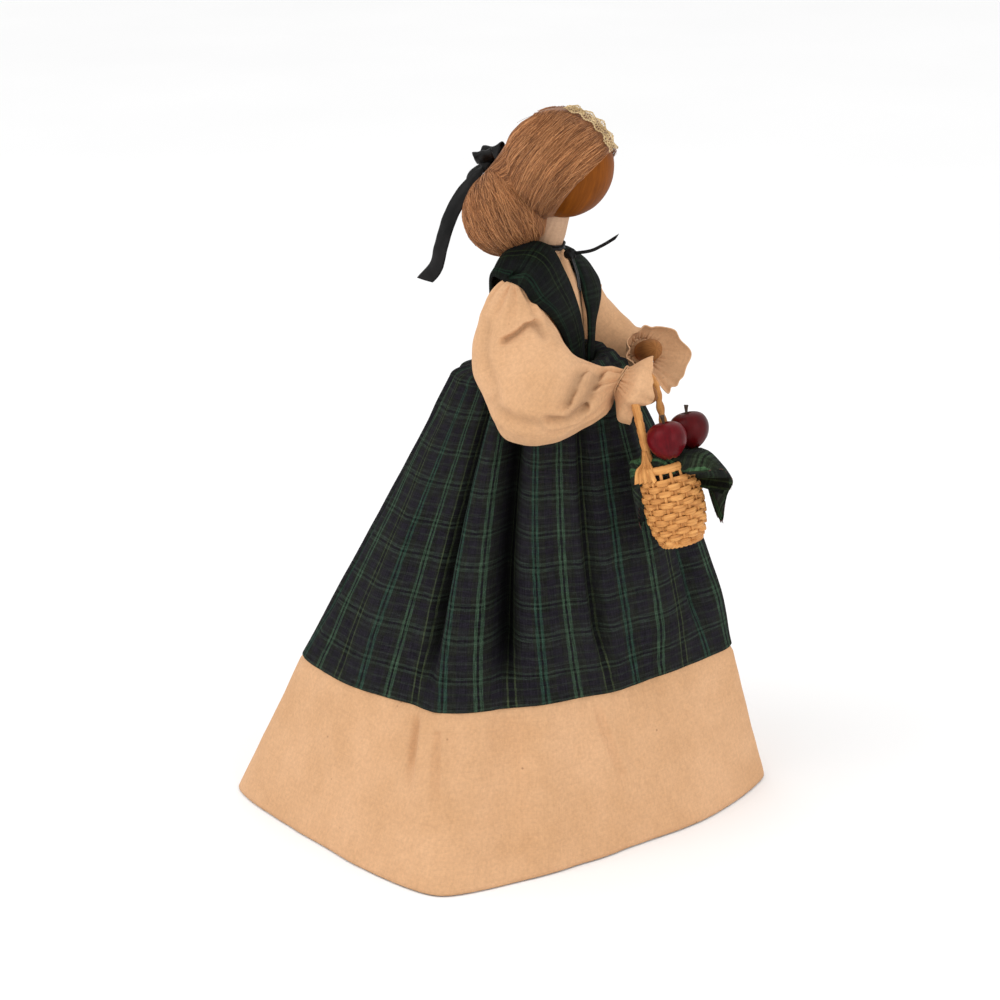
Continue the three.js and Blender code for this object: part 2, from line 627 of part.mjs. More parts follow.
function makeHead() {
  const head = cut(ball(headCentre, HEAD_RADIUS, 24, 12), spine(SPINE_RADIUS + GAP));
  add('head_ball', head, finish('face', 0.5));
  const edge = 90 - FACE_HALF_ANGLE;
  const inside = ballProfile(HEAD_RADIUS + GAP * 2, 6, edge, -90);
  const outerEdge = THREE.MathUtils.radToDeg(Math.asin((inside[0][1] + HAIR_SHIFT) / hairRadius));
  const outside = ballProfile(hairRadius, 9, -90, outerEdge)
    .map(([radius, along]) => [radius, along - HAIR_SHIFT]);
  outside[0][0] = 0;
  inside.at(-1)[0] = 0;
  const cap = turned([...outside, ...inside], 24);
  cap.applyQuaternion(new THREE.Quaternion().setFromUnitVectors(UP, faceAim));
  cap.translate(...headCentre.toArray());
  add('hair_cap', cut(cap, neckForm(GAP)), finish('hair', 0.6));
  const bun = ball(bunCentre, BUN_RADIUS, 20, 10);
  const clear = [ball(hairCentre, hairRadius + GAP, 24, 12), neckForm(GAP), collarForm(0), bodiceForm(GAP)];
  clear.push(ball(bowKnot, KNOT_RADIUS + GAP, 12, 8));
  add('hair_bun', cut(bun, ...clear), finish('hair', 0.6));
  makeLace();
  makeHairBow();
}

function makeLace() {
  const inner = hairRadius + GAP;
  const outer = inner + LACE_DEPTH;
  const arc = new THREE.Shape();
  arc.absarc(0, 0, outer, rad(LACE_FROM), rad(LACE_TO), false);
  arc.absarc(0, 0, inner, rad(LACE_TO), rad(LACE_FROM), true);
  arc.closePath();
  const band = new THREE.ExtrudeGeometry(arc, { depth: LACE_WIDTH, bevelEnabled: false, curveSegments: 14 });
  band.translate(0, 0, -LACE_WIDTH / 2);
  const turn = new THREE.Matrix4().makeBasis(vec(0, -1, 0), UP, vec(-1, 0, 0));
  band.applyMatrix4(turn).translate(...hairCentre.toArray());
  add('hair_lace', band, finish('lace', 0.9));
}

function makeHairBow() {
  const clear = [ball(bowKnot, KNOT_RADIUS + GAP, 12, 8), ball(bunCentre, BUN_RADIUS + GAP, 24, 12)];
  add('hair_bow_knot', ball(bowKnot, KNOT_RADIUS, 12, 8), finish('satin', 0.45));
  const across = vec(0.33, -0.82, 0.46);
  const pieces = {
    hair_ribbon_tail_near: [HAIR_TAIL_NEAR, vec(0.25, 0.85, 0.4), 14],
    hair_ribbon_tail_far: [HAIR_TAIL_FAR, vec(0.3, 0.9, 0.3), 12],
    hair_bow_loop_near: [HAIR_LOOP_NEAR, across, 12],
    hair_bow_loop_far: [HAIR_LOOP_NEAR.map(([x, y, z]) => [-x, y, z]), across.clone().setX(-across.x), 12],
  };
  for (const [name, [route, side, count]] of Object.entries(pieces)) {
    const band = ribbon(routed(bowKnot, route), RIBBON_WIDTH, RIBBON, side, count);
    add(name, cut(band, ...clear), finish('satin', 0.45));
  }
}

// Arms: each sleeve and hand is posed its own way

const shoulderHeight = neckBase.z - SHOULDER_DROP;
const shoulderDepth = torsoAxis + SHOULDER_BACK;

function armSocket(side) {
  const line = new THREE.LineCurve3(
    vec(side * (WIRE_INNER - GAP), shoulderDepth, shoulderHeight),
    vec(side * SHOULDER_OUT, shoulderDepth, shoulderHeight),
  );
  return rod(line, WIRE_RADIUS + GAP, 8, 1);
}

const sideName = (side) => (side < 0 ? 'right' : 'left');
const sleeveRings = (side) => SLEEVE_RINGS[sideName(side)];

function sleeveCentre([angle, reach, , out], side) {
  const bendDepth = shoulderDepth - BEND_FORWARD;
  const bendHeight = shoulderHeight - BEND_DROP;
  return vec(side * out, bendDepth + reach * Math.cos(rad(angle)), bendHeight - reach * Math.sin(rad(angle)));
}

function sleeveForm(side) {
  const { across, rise } = cuffFrame(side);
  return loft(sleeveRings(side).map((row, i, rows) => {
    const [angle, , halfDepth, , halfWidth] = row;
    const last = i === rows.length - 1;
    const radial = last ? rise.clone().negate() : vec(0, Math.cos(rad(angle)), -Math.sin(rad(angle)));
    const outward = last ? across.clone().multiplyScalar(-side) : vec(side, 0, 0);
    return Array.from({ length: SLEEVE_SIDES }, (_, j) => {
      const turn = (2 * Math.PI * j) / SLEEVE_SIDES;
      return sleeveCentre(row, side).addScaledVector(radial, halfDepth * Math.cos(turn))
        .addScaledVector(outward, halfWidth * Math.sin(turn));
    });
  }));
}

function handAim(side) {
  return vec(...HAND_AIM[sideName(side)]).normalize();
}

function wristOf(side) {
  return sleeveCentre(sleeveRings(side).at(-1), side);
}

function alongHand(side, distance) {
  return wristOf(side).addScaledVector(handAim(side), distance);
}

function wireForm(side, radius) {
  const stub = [WIRE_INNER, SHOULDER_OUT * 0.75, SHOULDER_OUT]
    .map((x) => vec(side * x, shoulderDepth, shoulderHeight));
  const inSleeve = sleeveRings(side).slice(4).map((row) => sleeveCentre(row, side));
  const path = new THREE.CatmullRomCurve3([...stub, ...inSleeve, alongHand(side, HAND_BORE_DEPTH)]);
  return rod(path, radius, 6, 20);
}

// A frame at the wrist: along the hand, to its side, and up.
function cuffFrame(side) {
  const along = handAim(side);
  const across = along.clone().cross(UP).normalize();
  return { along, across, rise: across.clone().cross(along) };
}

function cuffForm(side) {
  const { along, across, rise } = cuffFrame(side);
  const { lip, long, short, fade } = CUFFS[sideName(side)];
  const wrist = alongHand(side, GAP * 2);
  const ring = (share, inset) => Array.from({ length: CUFF_SIDES }, (_, j) => {
    const turn = (2 * Math.PI * j) / CUFF_SIDES;
    const near = THREE.MathUtils.smoothstep(Math.cos(turn - rad(lip)), ...fade);
    const [length, flare] = short.map((value, i) => lerp(value, long[i], near));
    const wave = CUFF_WAVE * share * Math.cos(CUFF_WAVES * turn);
    const radius = CUFF_THROAT + flare * share ** 0.75 + wave - inset;
    return wrist.clone().addScaledVector(along, length * share)
      .addScaledVector(across, radius * Math.sin(turn))
      .addScaledVector(rise, radius * Math.cos(turn));
  });
  const shares = steps(0, 1, 3);
  const outer = shares.map((share) => ring(share, 0));
  const inner = shares.map((share) => ring(share, CUFF_WALL)).reverse();
  return loft([...outer, ...inner], true);
}

function handForm(side) {
  const straight = HAND_LENGTH - HAND_RADIUS;
  const round = ballProfile(HAND_RADIUS, 5, 0, 90).map(([radius, height]) => [radius, height + straight]);
  round.at(-1)[0] = 0;
  const peg = turned([[0, 0], [HAND_RADIUS * 0.8, 0], [HAND_RADIUS, HAND_RADIUS * 0.5], ...round], 18);
  peg.applyQuaternion(new THREE.Quaternion().setFromUnitVectors(UP, handAim(side)));
  return peg.translate(...alongHand(side, GAP).toArray());
}

function tieForm(side, grow) {
  const { along, across, rise } = cuffFrame(side);
  const centre = alongHand(side, GAP - TIE_THREAD);
  const middle = CUFF_THROAT + GAP + TIE_THREAD;
  const rings = Array.from({ length: 18 }, (_, i) => {
    const turn = (2 * Math.PI * i) / 18;
    const out = across.clone().multiplyScalar(Math.sin(turn)).addScaledVector(rise, Math.cos(turn));
    return Array.from({ length: 6 }, (__, j) => {
      const spin = (2 * Math.PI * j) / 6;
      return centre.clone().addScaledVector(out, middle + (TIE_THREAD + grow) * Math.cos(spin))
        .addScaledVector(along, (TIE_THREAD + grow) * Math.sin(spin));
    });
  });
  return loft(rings, true);
}

function makeArm(side) {
  const name = sideName(side);
  const bore = wireForm(side, WIRE_RADIUS + GAP);
  add(`${name}_sleeve`, cut(sleeveForm(side), bore, tieForm(side, GAP)), finish('muslin', 0.92));
  add(`${name}_arm_wire`, wireForm(side, WIRE_RADIUS), finish('wire', 0.4, 1));
  add(`${name}_hand`, cut(handForm(side), bore), finish('hand', 0.55));
  add(`${name}_cuff`, cuffForm(side), finish('muslin', 0.92));
  add(`${name}_wrist_tie`, tieForm(side, 0), finish('muslin', 0.85));
}

// Basket, in its own frame: origin at the floor of the basket, the handle in its XZ plane

const rimRow = BASKET_ROWS.at(-1);
const basketHeight = rimRow[0];

function basketHalf(height) {
  const clamped = THREE.MathUtils.clamp(height, 0, basketHeight);
  const next = Math.max(1, BASKET_ROWS.findIndex((row) => row[0] >= clamped));
  const [low, high] = [BASKET_ROWS[next - 1], BASKET_ROWS[next]];
  const share = (clamped - low[0]) / (high[0] - low[0]);
  return [lerp(low[1], high[1], share), lerp(low[2], high[2], share)];
}

function basketRing(height, grow, weave = 0) {
  const [halfX, halfY] = basketHalf(height);
  const sides = STAKES * 2;
  return Array.from({ length: sides }, (_, j) => {
    const turn = (2 * Math.PI * j) / sides;
    const relief = grow + weave * Math.cos((STAKES / 2) * turn * 2);
    return vec((halfX + relief) * Math.cos(turn), (halfY + relief) * Math.sin(turn), height);
  });
}

// Weavers pass over and under the stakes, the other way round in each row.
function basketForm() {
  const rows = steps(0, basketHeight, WEAVER_ROWS * 2);
  const outer = rows.map((height, i) => {
    const weaver = i % 2 === 1;
    const over = Math.floor(i / 2) % 2 ? 1 : -1;
    return basketRing(height, weaver ? 0 : -WEAVE_DEPTH, weaver ? over * WEAVE_DEPTH : 0);
  });
  const inside = [basketHeight, ...WALL_BREAKS.map((share) => share * basketHeight), BASKET_FLOOR];
  return loft([...outer, ...inside.map((height) => basketRing(height, -BASKET_WALL - WEAVE_DEPTH))]);
}

function handleForm(grow) {
  const legX = rimRow[1] - BASKET_WALL - WEAVE_DEPTH - GAP - HANDLE_RADIUS;
  const archHeight = HANDLE_HEIGHT - legX;
  const at = (across, height) => vec(across * legX, HANDLE_BACK, height);
  const shoulder = archHeight + legX * ROUND_ARCH;
  const path = new THREE.CurvePath();
  path.add(new THREE.LineCurve3(at(-HANDLE_TAPER, HANDLE_FOOT), at(-1, archHeight)));
  path.add(new THREE.CubicBezierCurve3(
    at(-1, archHeight), at(-1, shoulder), at(-ROUND_ARCH, HANDLE_HEIGHT), at(0, HANDLE_HEIGHT),
  ));
  path.add(new THREE.CubicBezierCurve3(
    at(0, HANDLE_HEIGHT), at(ROUND_ARCH, HANDLE_HEIGHT), at(1, shoulder), at(1, archHeight),
  ));
  path.add(new THREE.LineCurve3(at(1, archHeight), at(HANDLE_TAPER, HANDLE_FOOT)));
  const rings = [];
  const count = HANDLE_TURNS * 4;
  for (let i = 0; i <= count; i += 1) {
    const centre = path.getPointAt(i / count);
    const along = path.getTangentAt(i / count);
    const side = vec(0, 1, 0);
    const out = along.clone().cross(side);
    const twist = (2 * Math.PI * HANDLE_TURNS * i) / count;
    rings.push(Array.from({ length: 8 }, (_, j) => {
      const turn = (2 * Math.PI * j) / 8;
      const radius = HANDLE_RADIUS * (1 - HANDLE_TWIST + HANDLE_TWIST * Math.cos(2 * turn - twist)) + grow;
      return centre.clone().addScaledVector(side, radius * Math.cos(turn))
        .addScaledVector(out, radius * Math.sin(turn));
    }));
  }
  return loft(rings);
}

function rimForm() {
  const [, halfX, halfY] = rimRow;
  const rings = Array.from({ length: 28 }, (_, i) => {
    const turn = (2 * Math.PI * i) / 28;
    const out = vec(Math.cos(turn), Math.sin(turn), 0);
    const inset = BASKET_WALL / 2 + WEAVE_DEPTH;
    const centre = vec((halfX - inset) * out.x, (halfY - inset) * out.y, basketHeight + GAP + RIM_RADIUS);
    return Array.from({ length: 6 }, (__, j) => {
      const spin = (2 * Math.PI * j) / 6;
      return centre.clone().addScaledVector(out, RIM_RADIUS * 0.7 * Math.cos(spin))
        .addScaledVector(UP, RIM_RADIUS * Math.sin(spin));
    });
  });
  return loft(rings, true);
}

function napkinReach(bearing, key) {
  return NAPKIN_CORNERS.reduce((sum, corner) => {
    const off = ((bearing - corner.bearing + 540) % 360) - 180;
    return sum + corner[key] * Math.exp(-((off / corner.spread) ** 2));
  }, 0);
}

function napkinForm() {
  const rimTop = basketHeight + GAP * 2 + RIM_RADIUS * 2;
  const widest = Math.max(...BASKET_ROWS.flatMap((row) => [row[1] - rimRow[1], row[2] - rimRow[2]]));
  const standOff = widest + WEAVE_DEPTH + GAP * 2;
  const inside = -BASKET_WALL - WEAVE_DEPTH - GAP;
  const ring = (place) => Array.from({ length: STAKES * 2 }, (_, j) => {
    const bearing = (180 * j) / STAKES;
    const hang = NAPKIN_EDGE + napkinReach(bearing, 'hang');
    const flare = napkinReach(bearing, 'flare');
    const [grow, height, scale = 1] = place(hang, flare);
    const [halfX, halfY] = grow < 0 ? basketHalf(height) : rimRow.slice(1);
    const turn = rad(bearing);
    return vec(scale * (halfX + grow) * Math.cos(turn), scale * (halfY + grow) * Math.sin(turn), height);
  });
  return loft([
    ...WALL_BREAKS.toReversed().map((share) => ring(() => [inside, basketHeight * share])),
    ring(() => [inside, basketHeight]),
    ring(() => [inside, rimTop]),
    ring(() => [standOff, rimTop]),
    ring((hang, flare) => [standOff + flare, rimTop - hang]),
    ring((hang, flare) => [standOff + flare + CLOTH, rimTop - hang]),
    ring((hang, flare) => [standOff + CLOTH + flare * 0.4, rimTop + CLOTH]),
    ring(() => [0, rimTop + NAPKIN_RISE * 0.7, 1.1]),
    ring(() => [0, rimTop + NAPKIN_RISE, 0.7]),
  ]);
}

function appleForm() {
  const half = APPLE_HEIGHT / 2;
  const inner = APPLE_RADIUS * 0.35;
  const profile = new THREE.SplineCurve([
    [0, -half + APPLE_DIMPLE], [inner * 0.8, -half], [APPLE_RADIUS * 0.8, -half * 0.55],
    [APPLE_RADIUS, half * 0.15], [APPLE_RADIUS * 0.82, half * 0.75], [inner, half], [0, half - APPLE_DIMPLE],
  ].map(([r, z]) => new THREE.Vector2(r, z))).getPoints(11).map((p) => [Math.max(0, p.x), p.y]);
  profile[0][0] = 0;
  profile.at(-1)[0] = 0;
  return turned(profile, 16);
}

function makeBasket() {
  const swing = new THREE.Group();
  const seat = alongHand(-1, HANDLE_ON_HAND).addScaledVector(UP, HAND_RADIUS + HANDLE_RADIUS + HANDLE_SEAT);
  swing.position.copy(seat);
  swing.rotation.set(rad(-BASKET_TILT), 0, rad(BASKET_YAW), 'ZYX');
  const frame = new THREE.Group();
  frame.position.set(0, -HANDLE_BACK, -HANDLE_HEIGHT);
  swing.add(frame);
  doll.add(swing);
  add('basket_body', basketForm(), finish('straw', 0.75), frame);
  add('basket_handle', handleForm(0), finish('straw', 0.75), frame);
  add('basket_rim', cut(rimForm(), handleForm(GAP)), finish('straw', 0.75), frame);
  const appleHeight = basketHeight + RIM_RADIUS * 2 + NAPKIN_RISE + APPLE_HEIGHT / 2;
  const hollows = Object.values(APPLES)
    .map(([x, y]) => ball(vec(x, y, appleHeight), APPLE_RADIUS + GAP, 20, 12));
  add('napkin', cut(napkinForm(), handleForm(GAP), ...hollows), finish('tartan', 0.9), frame);
  for (const [name, [x, y]] of Object.entries(APPLES)) {
    const place = new THREE.Group();
    place.position.set(x, y, appleHeight);
    frame.add(place);
    add(name, appleForm(), finish('apple', 0.3), place);
    const foot = APPLE_HEIGHT / 2 - APPLE_DIMPLE + GAP * 2;
    const stem = turned([
      [0, foot], [STEM_RADIUS * 0.6, foot], [STEM_RADIUS, foot + STEM_LENGTH], [0, foot + STEM_LENGTH],
    ], 8);
    add(`${name}_stem`, stem, finish('stem', 0.8), place);
  }
}

makeStand();
makeBorder();
makeSkirt();
makeTorso();
makeVest();
makeNeck();
makeHead();
makeArm(-1);
makeArm(1);
makeBasket();

export default doll;
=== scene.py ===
"""Looks of a faceless folk art doll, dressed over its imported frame."""

import functools
import math
import random

import bpy
from mathutils import Matrix, Vector, noise
from mathutils.bvhtree import BVHTree


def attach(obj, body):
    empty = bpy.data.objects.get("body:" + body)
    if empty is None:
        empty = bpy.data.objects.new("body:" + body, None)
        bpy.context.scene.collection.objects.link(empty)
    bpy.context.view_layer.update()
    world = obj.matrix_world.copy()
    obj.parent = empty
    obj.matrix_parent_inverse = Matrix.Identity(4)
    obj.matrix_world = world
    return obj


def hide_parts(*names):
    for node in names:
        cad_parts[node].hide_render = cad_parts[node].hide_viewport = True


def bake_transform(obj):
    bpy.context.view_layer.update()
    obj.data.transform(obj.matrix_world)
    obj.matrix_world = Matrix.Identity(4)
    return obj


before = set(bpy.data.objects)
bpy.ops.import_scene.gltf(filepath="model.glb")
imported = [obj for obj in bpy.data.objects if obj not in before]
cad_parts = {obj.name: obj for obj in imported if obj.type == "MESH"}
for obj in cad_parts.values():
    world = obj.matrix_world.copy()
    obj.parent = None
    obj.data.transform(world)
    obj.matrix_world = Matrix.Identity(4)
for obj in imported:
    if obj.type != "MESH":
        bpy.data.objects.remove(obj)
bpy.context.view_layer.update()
rng = random.Random(5)

# Sizes are in millimetres and angles in degrees, as in the part's source.
MM = 0.001
ACROSS = Vector((1, 0, 0))
BACK = Vector((0, 1, 0))
UP = Vector((0, 0, 1))
SEAM = 58
WAIST = 178
PUFF = 172
FORWARD = 16.5
GAP = 0.3
CLOTH = 1.2
SHEET = 0.6
RIBBON = 0.35

# Skirt outline: bearing, reach and dip to the next corner
HEM_CORNERS = [
    (20, 105, 20), (112, 108.6, 12), (176, 99.8, 0), (187, 106, 7),
    (238, 77.9, 2), (266, 87.7, 2), (295, 109.4, 20),
]
SEAM_CORNERS = [
    (24, 77, 13), (113, 86.3, 3.5), (165, 68, 0), (172, 71.5, 5),
    (233, 54.6, 0), (264, 60.5, 2.7), (295, 88, 13),
]
WAIST_CORNERS = [
    (28, 27, 0), (116, 36, 0), (150, 28.7, 0), (158, 27, 0), (222, 29, 0), (255, 30, 0), (292, 31, 0),
]
SKIRT_BULGE = 4.5
# Folds: bearing at the waist and at the seam, spread and height
SKIRT_FOLDS = [
    (5, 352, 9, 4), (52, 58, 10, 4), (86, 86, 9, 3), (134, 140, 9, 3), (196, 212, 9, 3.5),
    (226, 240, 10, 3.5), (258, 268, 9, 4), (324, 325, 10, 4),
]
# Rolled folds: bearing at the seam, half width and height
SKIRT_ROLLS = [(182.5, 11, 5), (35, 9, 3), (105, 9, 1.2), (297.5, 10, 3)]
ROLL_TURN = (176, -16)
# Creases: bearing at the seam, depth and spread
SKIRT_CREASES = [
    (170, 8, 2.6), (196, 13, 4), (240, 6, 2.8), (25, 4, 2.4), (45, 4, 2.4), (70, 3, 2.2), (95, 4, 2.4),
    (115, 2.5, 2.2), (285, 3, 2.2), (310, 4, 2.4), (340, 4, 2.4),
]
# Creases: bearing at the top and the foot, height of both, width and depth
BORDER_CREASES = [
    (167, 172, 60, 36, 2, 2.8), (177, 181, 50, 30, 1.6, 1.8),
    (196, 201, 60, 4, 9, 2.8), (232, 240, 56, 26, 2, 1.2),
    (60, 66, 54, 12, 5, 1.4),
]
# Gathered top: rise and share of the way in to the waistband
PUFF_ROWS = [(0, 0), (4.5, 0.06), (8, 0.22), (10.5, 0.5), (9.5, 0.8), (5, 1)]
SKIRT_COLUMNS = 540
SKIRT_ROWS = 76
PUFF_STEPS = 16
BORDER_COLUMNS = 480

# Bodice: rise above the waist, half width and half depth
BODICE_ROWS = [
    (-8, 14, 13), (-2, 15.5, 15), (8, 18.5, 15.5), (22, 22, 13.5), (30, 23.5, 11.5), (36, 22.5, 9),
    (41, 18, 6.8), (43.5, 11, 6.9),
]
ARMHOLES = [(-31, -15), (15, 30)]
ARMHOLE_RADIUS = 7.8
# Vest straps: depth, rise, inner and outer reach, turn in and droop
VEST_STATIONS = [
    (17.4, -1.5, 0.8, 12, 1.5, 1), (17.2, 16, 3, 18, 2.5, 3.5), (15, 27, 4.6, 23.5, 5, 6),
    (11, 38, 6.4, 25, 3.5, 10), (5, 47, 7.2, 25.2, 0, 10), (-3.5, 48, 7.2, 25.2, 0, 7.5),
    (-11, 45, 7.2, 25, 0, 4.5), (-14, 33, 6.5, 22.5, 0.5, 1.5),
    (-15.4, 20, 5.5, 20, 2, 1), (-17, -2, 3, 14, 2, 1),
]
# Outer edge of a strap where it lies over the sleeve: station, distance out, depth and height
STRAP_OVER_SLEEVE = {
    2: (32, -30.4, 204.2), 3: (38.6, -25.2, 210.6),
    4: (37.6, -20, 215.6), 5: (36, -13.4, 216.6), 6: (29, -6.4, 216.5),
}
# How far the inner edge moves out and up, how far the shoulder sinks, and the width over the sleeve
STRAP_FIT = {"right": (-1.2, 1.8, 0, 1), "left": (0.2, 0, 3, 0.92)}
STRAP_STEPS = 120
STRAP_COLUMNS = 25
STRAP_ROOM = 0.5

# Neck, head and hair
NECK_RADIUS = 6.5
NECK_TILT = math.radians(12.8)
NECK_BASE = Vector((0, -FORWARD, 222))
NECK_AIM = Vector((0, -math.sin(NECK_TILT), math.cos(NECK_TILT)))
NECK_FRONT = Vector((0, -math.cos(NECK_TILT), -math.sin(NECK_TILT)))
HEAD_RADIUS = 19
HEAD = NECK_BASE + NECK_AIM * (14.3 + HEAD_RADIUS)
FACE_DROP = math.radians(38.5)
FACE_AIM = Vector((0, -math.cos(FACE_DROP), -math.sin(FACE_DROP)))
FACE_HALF = 55.4
HAIR = HEAD - FACE_AIM * 1.4
HAIR_RADIUS = 21.3
BUN_RADIUS = 17.5
BUN_DROP = math.radians(38)
BUN_AIM = Vector((0, math.cos(BUN_DROP), -math.sin(BUN_DROP)))
BUN_UP = Vector((0, math.sin(BUN_DROP), math.cos(BUN_DROP)))
BUN = HEAD + BUN_AIM * (HAIR_RADIUS + BUN_RADIUS - 11.6)
BUN_MIDDLE = BUN + Vector((0, -0.8, -0.6))
BUN_HOLLOW = Vector((0, 0.87, 0.5))
BUN_SAG = Vector((0, 0.77, -0.64))
BUN_HALF = (18.8, 17.4)
BUN_POWER = 2.6
BOW_RISE = math.radians(62)
BOW_AIM = Vector((0, math.cos(BOW_RISE), math.sin(BOW_RISE)))
BOW = BUN + BOW_AIM * (BUN_RADIUS + 0.6)
TIE_KNOT = NECK_BASE + NECK_AIM * 1.625 + NECK_FRONT * (NECK_RADIUS + 3.7)
CAP_STRANDS = 4000
CAP_FLYAWAYS = 70
BUN_STRANDS = 3400
BUN_FLYAWAYS = 90
BRIDGE_STRANDS = 620
STRAND_RADIUS = 0.105
LACE_HALF = 4.1
LACE_NETS = 28
LACE_DOTS = 30

# Ribbons, each as points from its knot
TIE_FRONT = [(0, -1.4, 0.4), (0, -8, 1.8), (0, -13, 4.4), (0, -18.5, 8)]
TIE_DOWN = [(-0.8, -1, -1.2), (-2.4, -3.6, -7), (-3.4, -4.8, -12.5)]
BOW_LOOP = [
    (0.6, 0.2, 0.2), (3, 0, 1.4), (6, -0.4, 3.2), (7, -0.4, 5),
    (5.4, 0.4, 5.4), (3, 0.6, 3.4), (0.8, 0.6, 0.8),
]
BOW_TAILS = {
    "near": [
        (-0.8, 0.6, -1), (-3.2, 4.4, -5), (-4, 10, -13),
        (-4.5, 14.8, -23), (-4.5, 17.8, -33), (-4, 20, -40.4),
        (-3, 25, -46.4),
    ],
    "far": [(1.2, 1.6, -0.6), (5, 8, -6.6), (9, 9.6, -15), (12, 8.4, -24.5), (14, 7.4, -32.5)],
}
BOW_TAIL_ACROSS = {"near": (0.25, 0.85, 0.4), "far": (0.3, 0.9, 0.3)}

# Sleeves: fan angle, reach, half depth, distance out and half width
SLEEVES = {
    "right": [
        (-25, 34, 3, 33.5, 3.4), (-16, 31, 9, 34.5, 8), (-5, 30, 12.2, 36, 10.5), (7, 29.5, 15.8, 38, 12.2),
        (22, 29.4, 17.8, 41, 13.5), (38, 28.8, 18.6, 44, 14.5), (56, 30.8, 20.6, 44.5, 14.5),
        (71, 29, 17.2, 41, 13.2), (84, 27, 12.4, 34, 10.5),
        (95, 25.6, 8.2, 26.5, 7.4), (104, 24.6, 5.2, 19.5, 5.2),
    ],
    "left": [
        (-18, 34, 2.6, 32.4, 3), (-9.5, 33.6, 5.6, 33.6, 7.6),
        (-5, 33, 9.4, 36, 10.5), (7, 33.4, 11.2, 38, 12.2),
        (22, 34, 12.8, 41, 13.5), (38, 34.3, 12.8, 44, 14.5), (56, 35.4, 14, 44.5, 14.5),
        (71, 33.2, 12, 41.5, 13.2), (81, 30.4, 9.2, 35.5, 10),
        (88, 26.5, 7, 29, 7.2), (93, 23.5, 5.2, 22, 5.2),
    ],
}
SLEEVE_STEPS = 130
SLEEVE_COLUMNS = 190
BEND = Vector((0, -48, 203))
# Creases on the outer face of a sleeve: depth and height along the line, width and depth
SLEEVE_CREASES = [
    (
        [(-18.7, 198.7), (-23, 201.2), (-25.4, 203.7), (-27.4, 204.1), (-29.9, 203.1), (-32.7, 201.1)],
        1.2, 2.2,
    ),
    ([(-45.3, 187.6), (-44.1, 182.6), (-42.6, 177.4)], 1.6, 3),
    ([(-48.7, 184.7), (-47.4, 178.6), (-45.2, 172.5)], 1.6, 3),
    ([(-37.2, 172.3), (-42.1, 171.2), (-45.7, 173.9)], 1.5, 2.4),
    ([(-17, 176), (-25, 172), (-34, 171)], 2.4, 1.2),
    ([(-10, 203), (-11, 195), (-15, 187), (-18, 180)], 2.4, 1),
]
HAND_AIM = {"right": (0, -0.92, -0.38), "left": (-0.72, -0.59, 0.35)}
# Hand: distance from the wrist and radius
HAND_ROWS = [(0, 3.2), (1.2, 3.9), (3.5, 4.3), (8, 4.3), (11, 3.95), (13, 2.8), (14.1, 1.35), (14.5, 0.25)]
CUFF_THROAT = 6.3
# Rim of each cuff round the wrist: bearing, length, reach at the rim and half way there
CUFF_RIMS = {
    "right": [
        (0, 6, 13.5, 10.5), (22, 9, 12, 11), (42, 12.3, 10, 11.5), (64, 14, 7.6, 11.8), (88, 13.6, 7, 11.8),
        (108, 11.5, 7, 10.5), (124, 10, 9.5, 10.5),
        (146, 9.5, 12, 12.4), (172, 8.5, 12.5, 13), (202, 8, 12, 12.4),
        (236, 7, 10, 10), (280, 5.5, 9.5, 8.3), (320, 5.5, 12, 9.5),
    ],
    "left": [
        (0, 5, 9, 8), (45, 4.5, 8.5, 7.8), (90, 4.5, 8, 7.6),
        (135, 6, 8, 7.6), (160, 8, 8.5, 8.5), (180, 7.5, 13, 10),
        (205, 7, 17, 11.5), (235, 8, 16.5, 11.5), (260, 8, 16.5, 11.5), (296, 7, 13, 10.5), (330, 6, 10.5, 9),
    ],
}
CUFF_STEPS = 30
CUFF_COLUMNS = 240

# Basket, in its own frame: height, half width across the handle and the other way
BASKET_ROWS = [(0, 8.6, 6.8), (5, 11.4, 9.3), (12, 13, 10.5), (20, 13, 10.5), (29, 12.2, 9.4)]
BASKET_HEIGHT = 29
HANDLE_HEIGHT = 65
HANDLE_BACK = 2.4
HANDLE_LEG = 8.35
HANDLE_FOOT = 14
HANDLE_STEPS = 420
HANDLE_WRAPS = 27
BASKET_SEAT = Vector((-19.5, -61.53, 182.4))
BASKET_FRAME = (
    Matrix.Translation(BASKET_SEAT)
    @ Matrix.Rotation(math.radians(-13), 4, "Z")
    @ Matrix.Rotation(math.radians(-15), 4, "X")
    @ Matrix.Translation((0, -HANDLE_BACK, -HANDLE_HEIGHT))
)
STAKES = 16
WEAVERS = 12
RIM_WRAPS = 24
FAN_STRIPS = 5
# Napkin: bearing, hang, flare and spread of each corner
NAPKIN_CORNERS = [
    (265, 2, 13.5, 21), (287, 9, 3, 15), (308, 23, 2.5, 17), (20, 8, 1.5, 34), (105, 21, 3.2, 24),
]
NAPKIN_TOP = BASKET_HEIGHT + 2.8
NAPKIN_COLUMNS = 160
NAPKIN_THREADS = 260
# Loose threads: how far out each point lies, as a share of the length, and its width
FRAY_POINTS = [(-0.3, 1), (0.4, 0.8), (1, 0.4)]
APPLES = {"apple_front": (8, -8.2), "apple_rear": (-7.6, -7.4)}
STEM_LEAN = {"apple_front": 0.8, "apple_rear": -0.5}
STEM_LENGTH = 4.5
APPLE_RADIUS = 7.5
APPLE_HALF = 6.6
APPLE_DIMPLE = 1.8
APPLE_CENTRE = BASKET_HEIGHT + 5.1 + APPLE_HALF


def mix(a, b, t):
    return a + (b - a) * t


def clamp(x):
    return max(0.0, min(1.0, x))


def ease(low, high, x):
    t = clamp((x - low) / (high - low))
    return t * t * (3 - 2 * t)


def wrap(degrees):
    return (degrees + 180) % 360 - 180


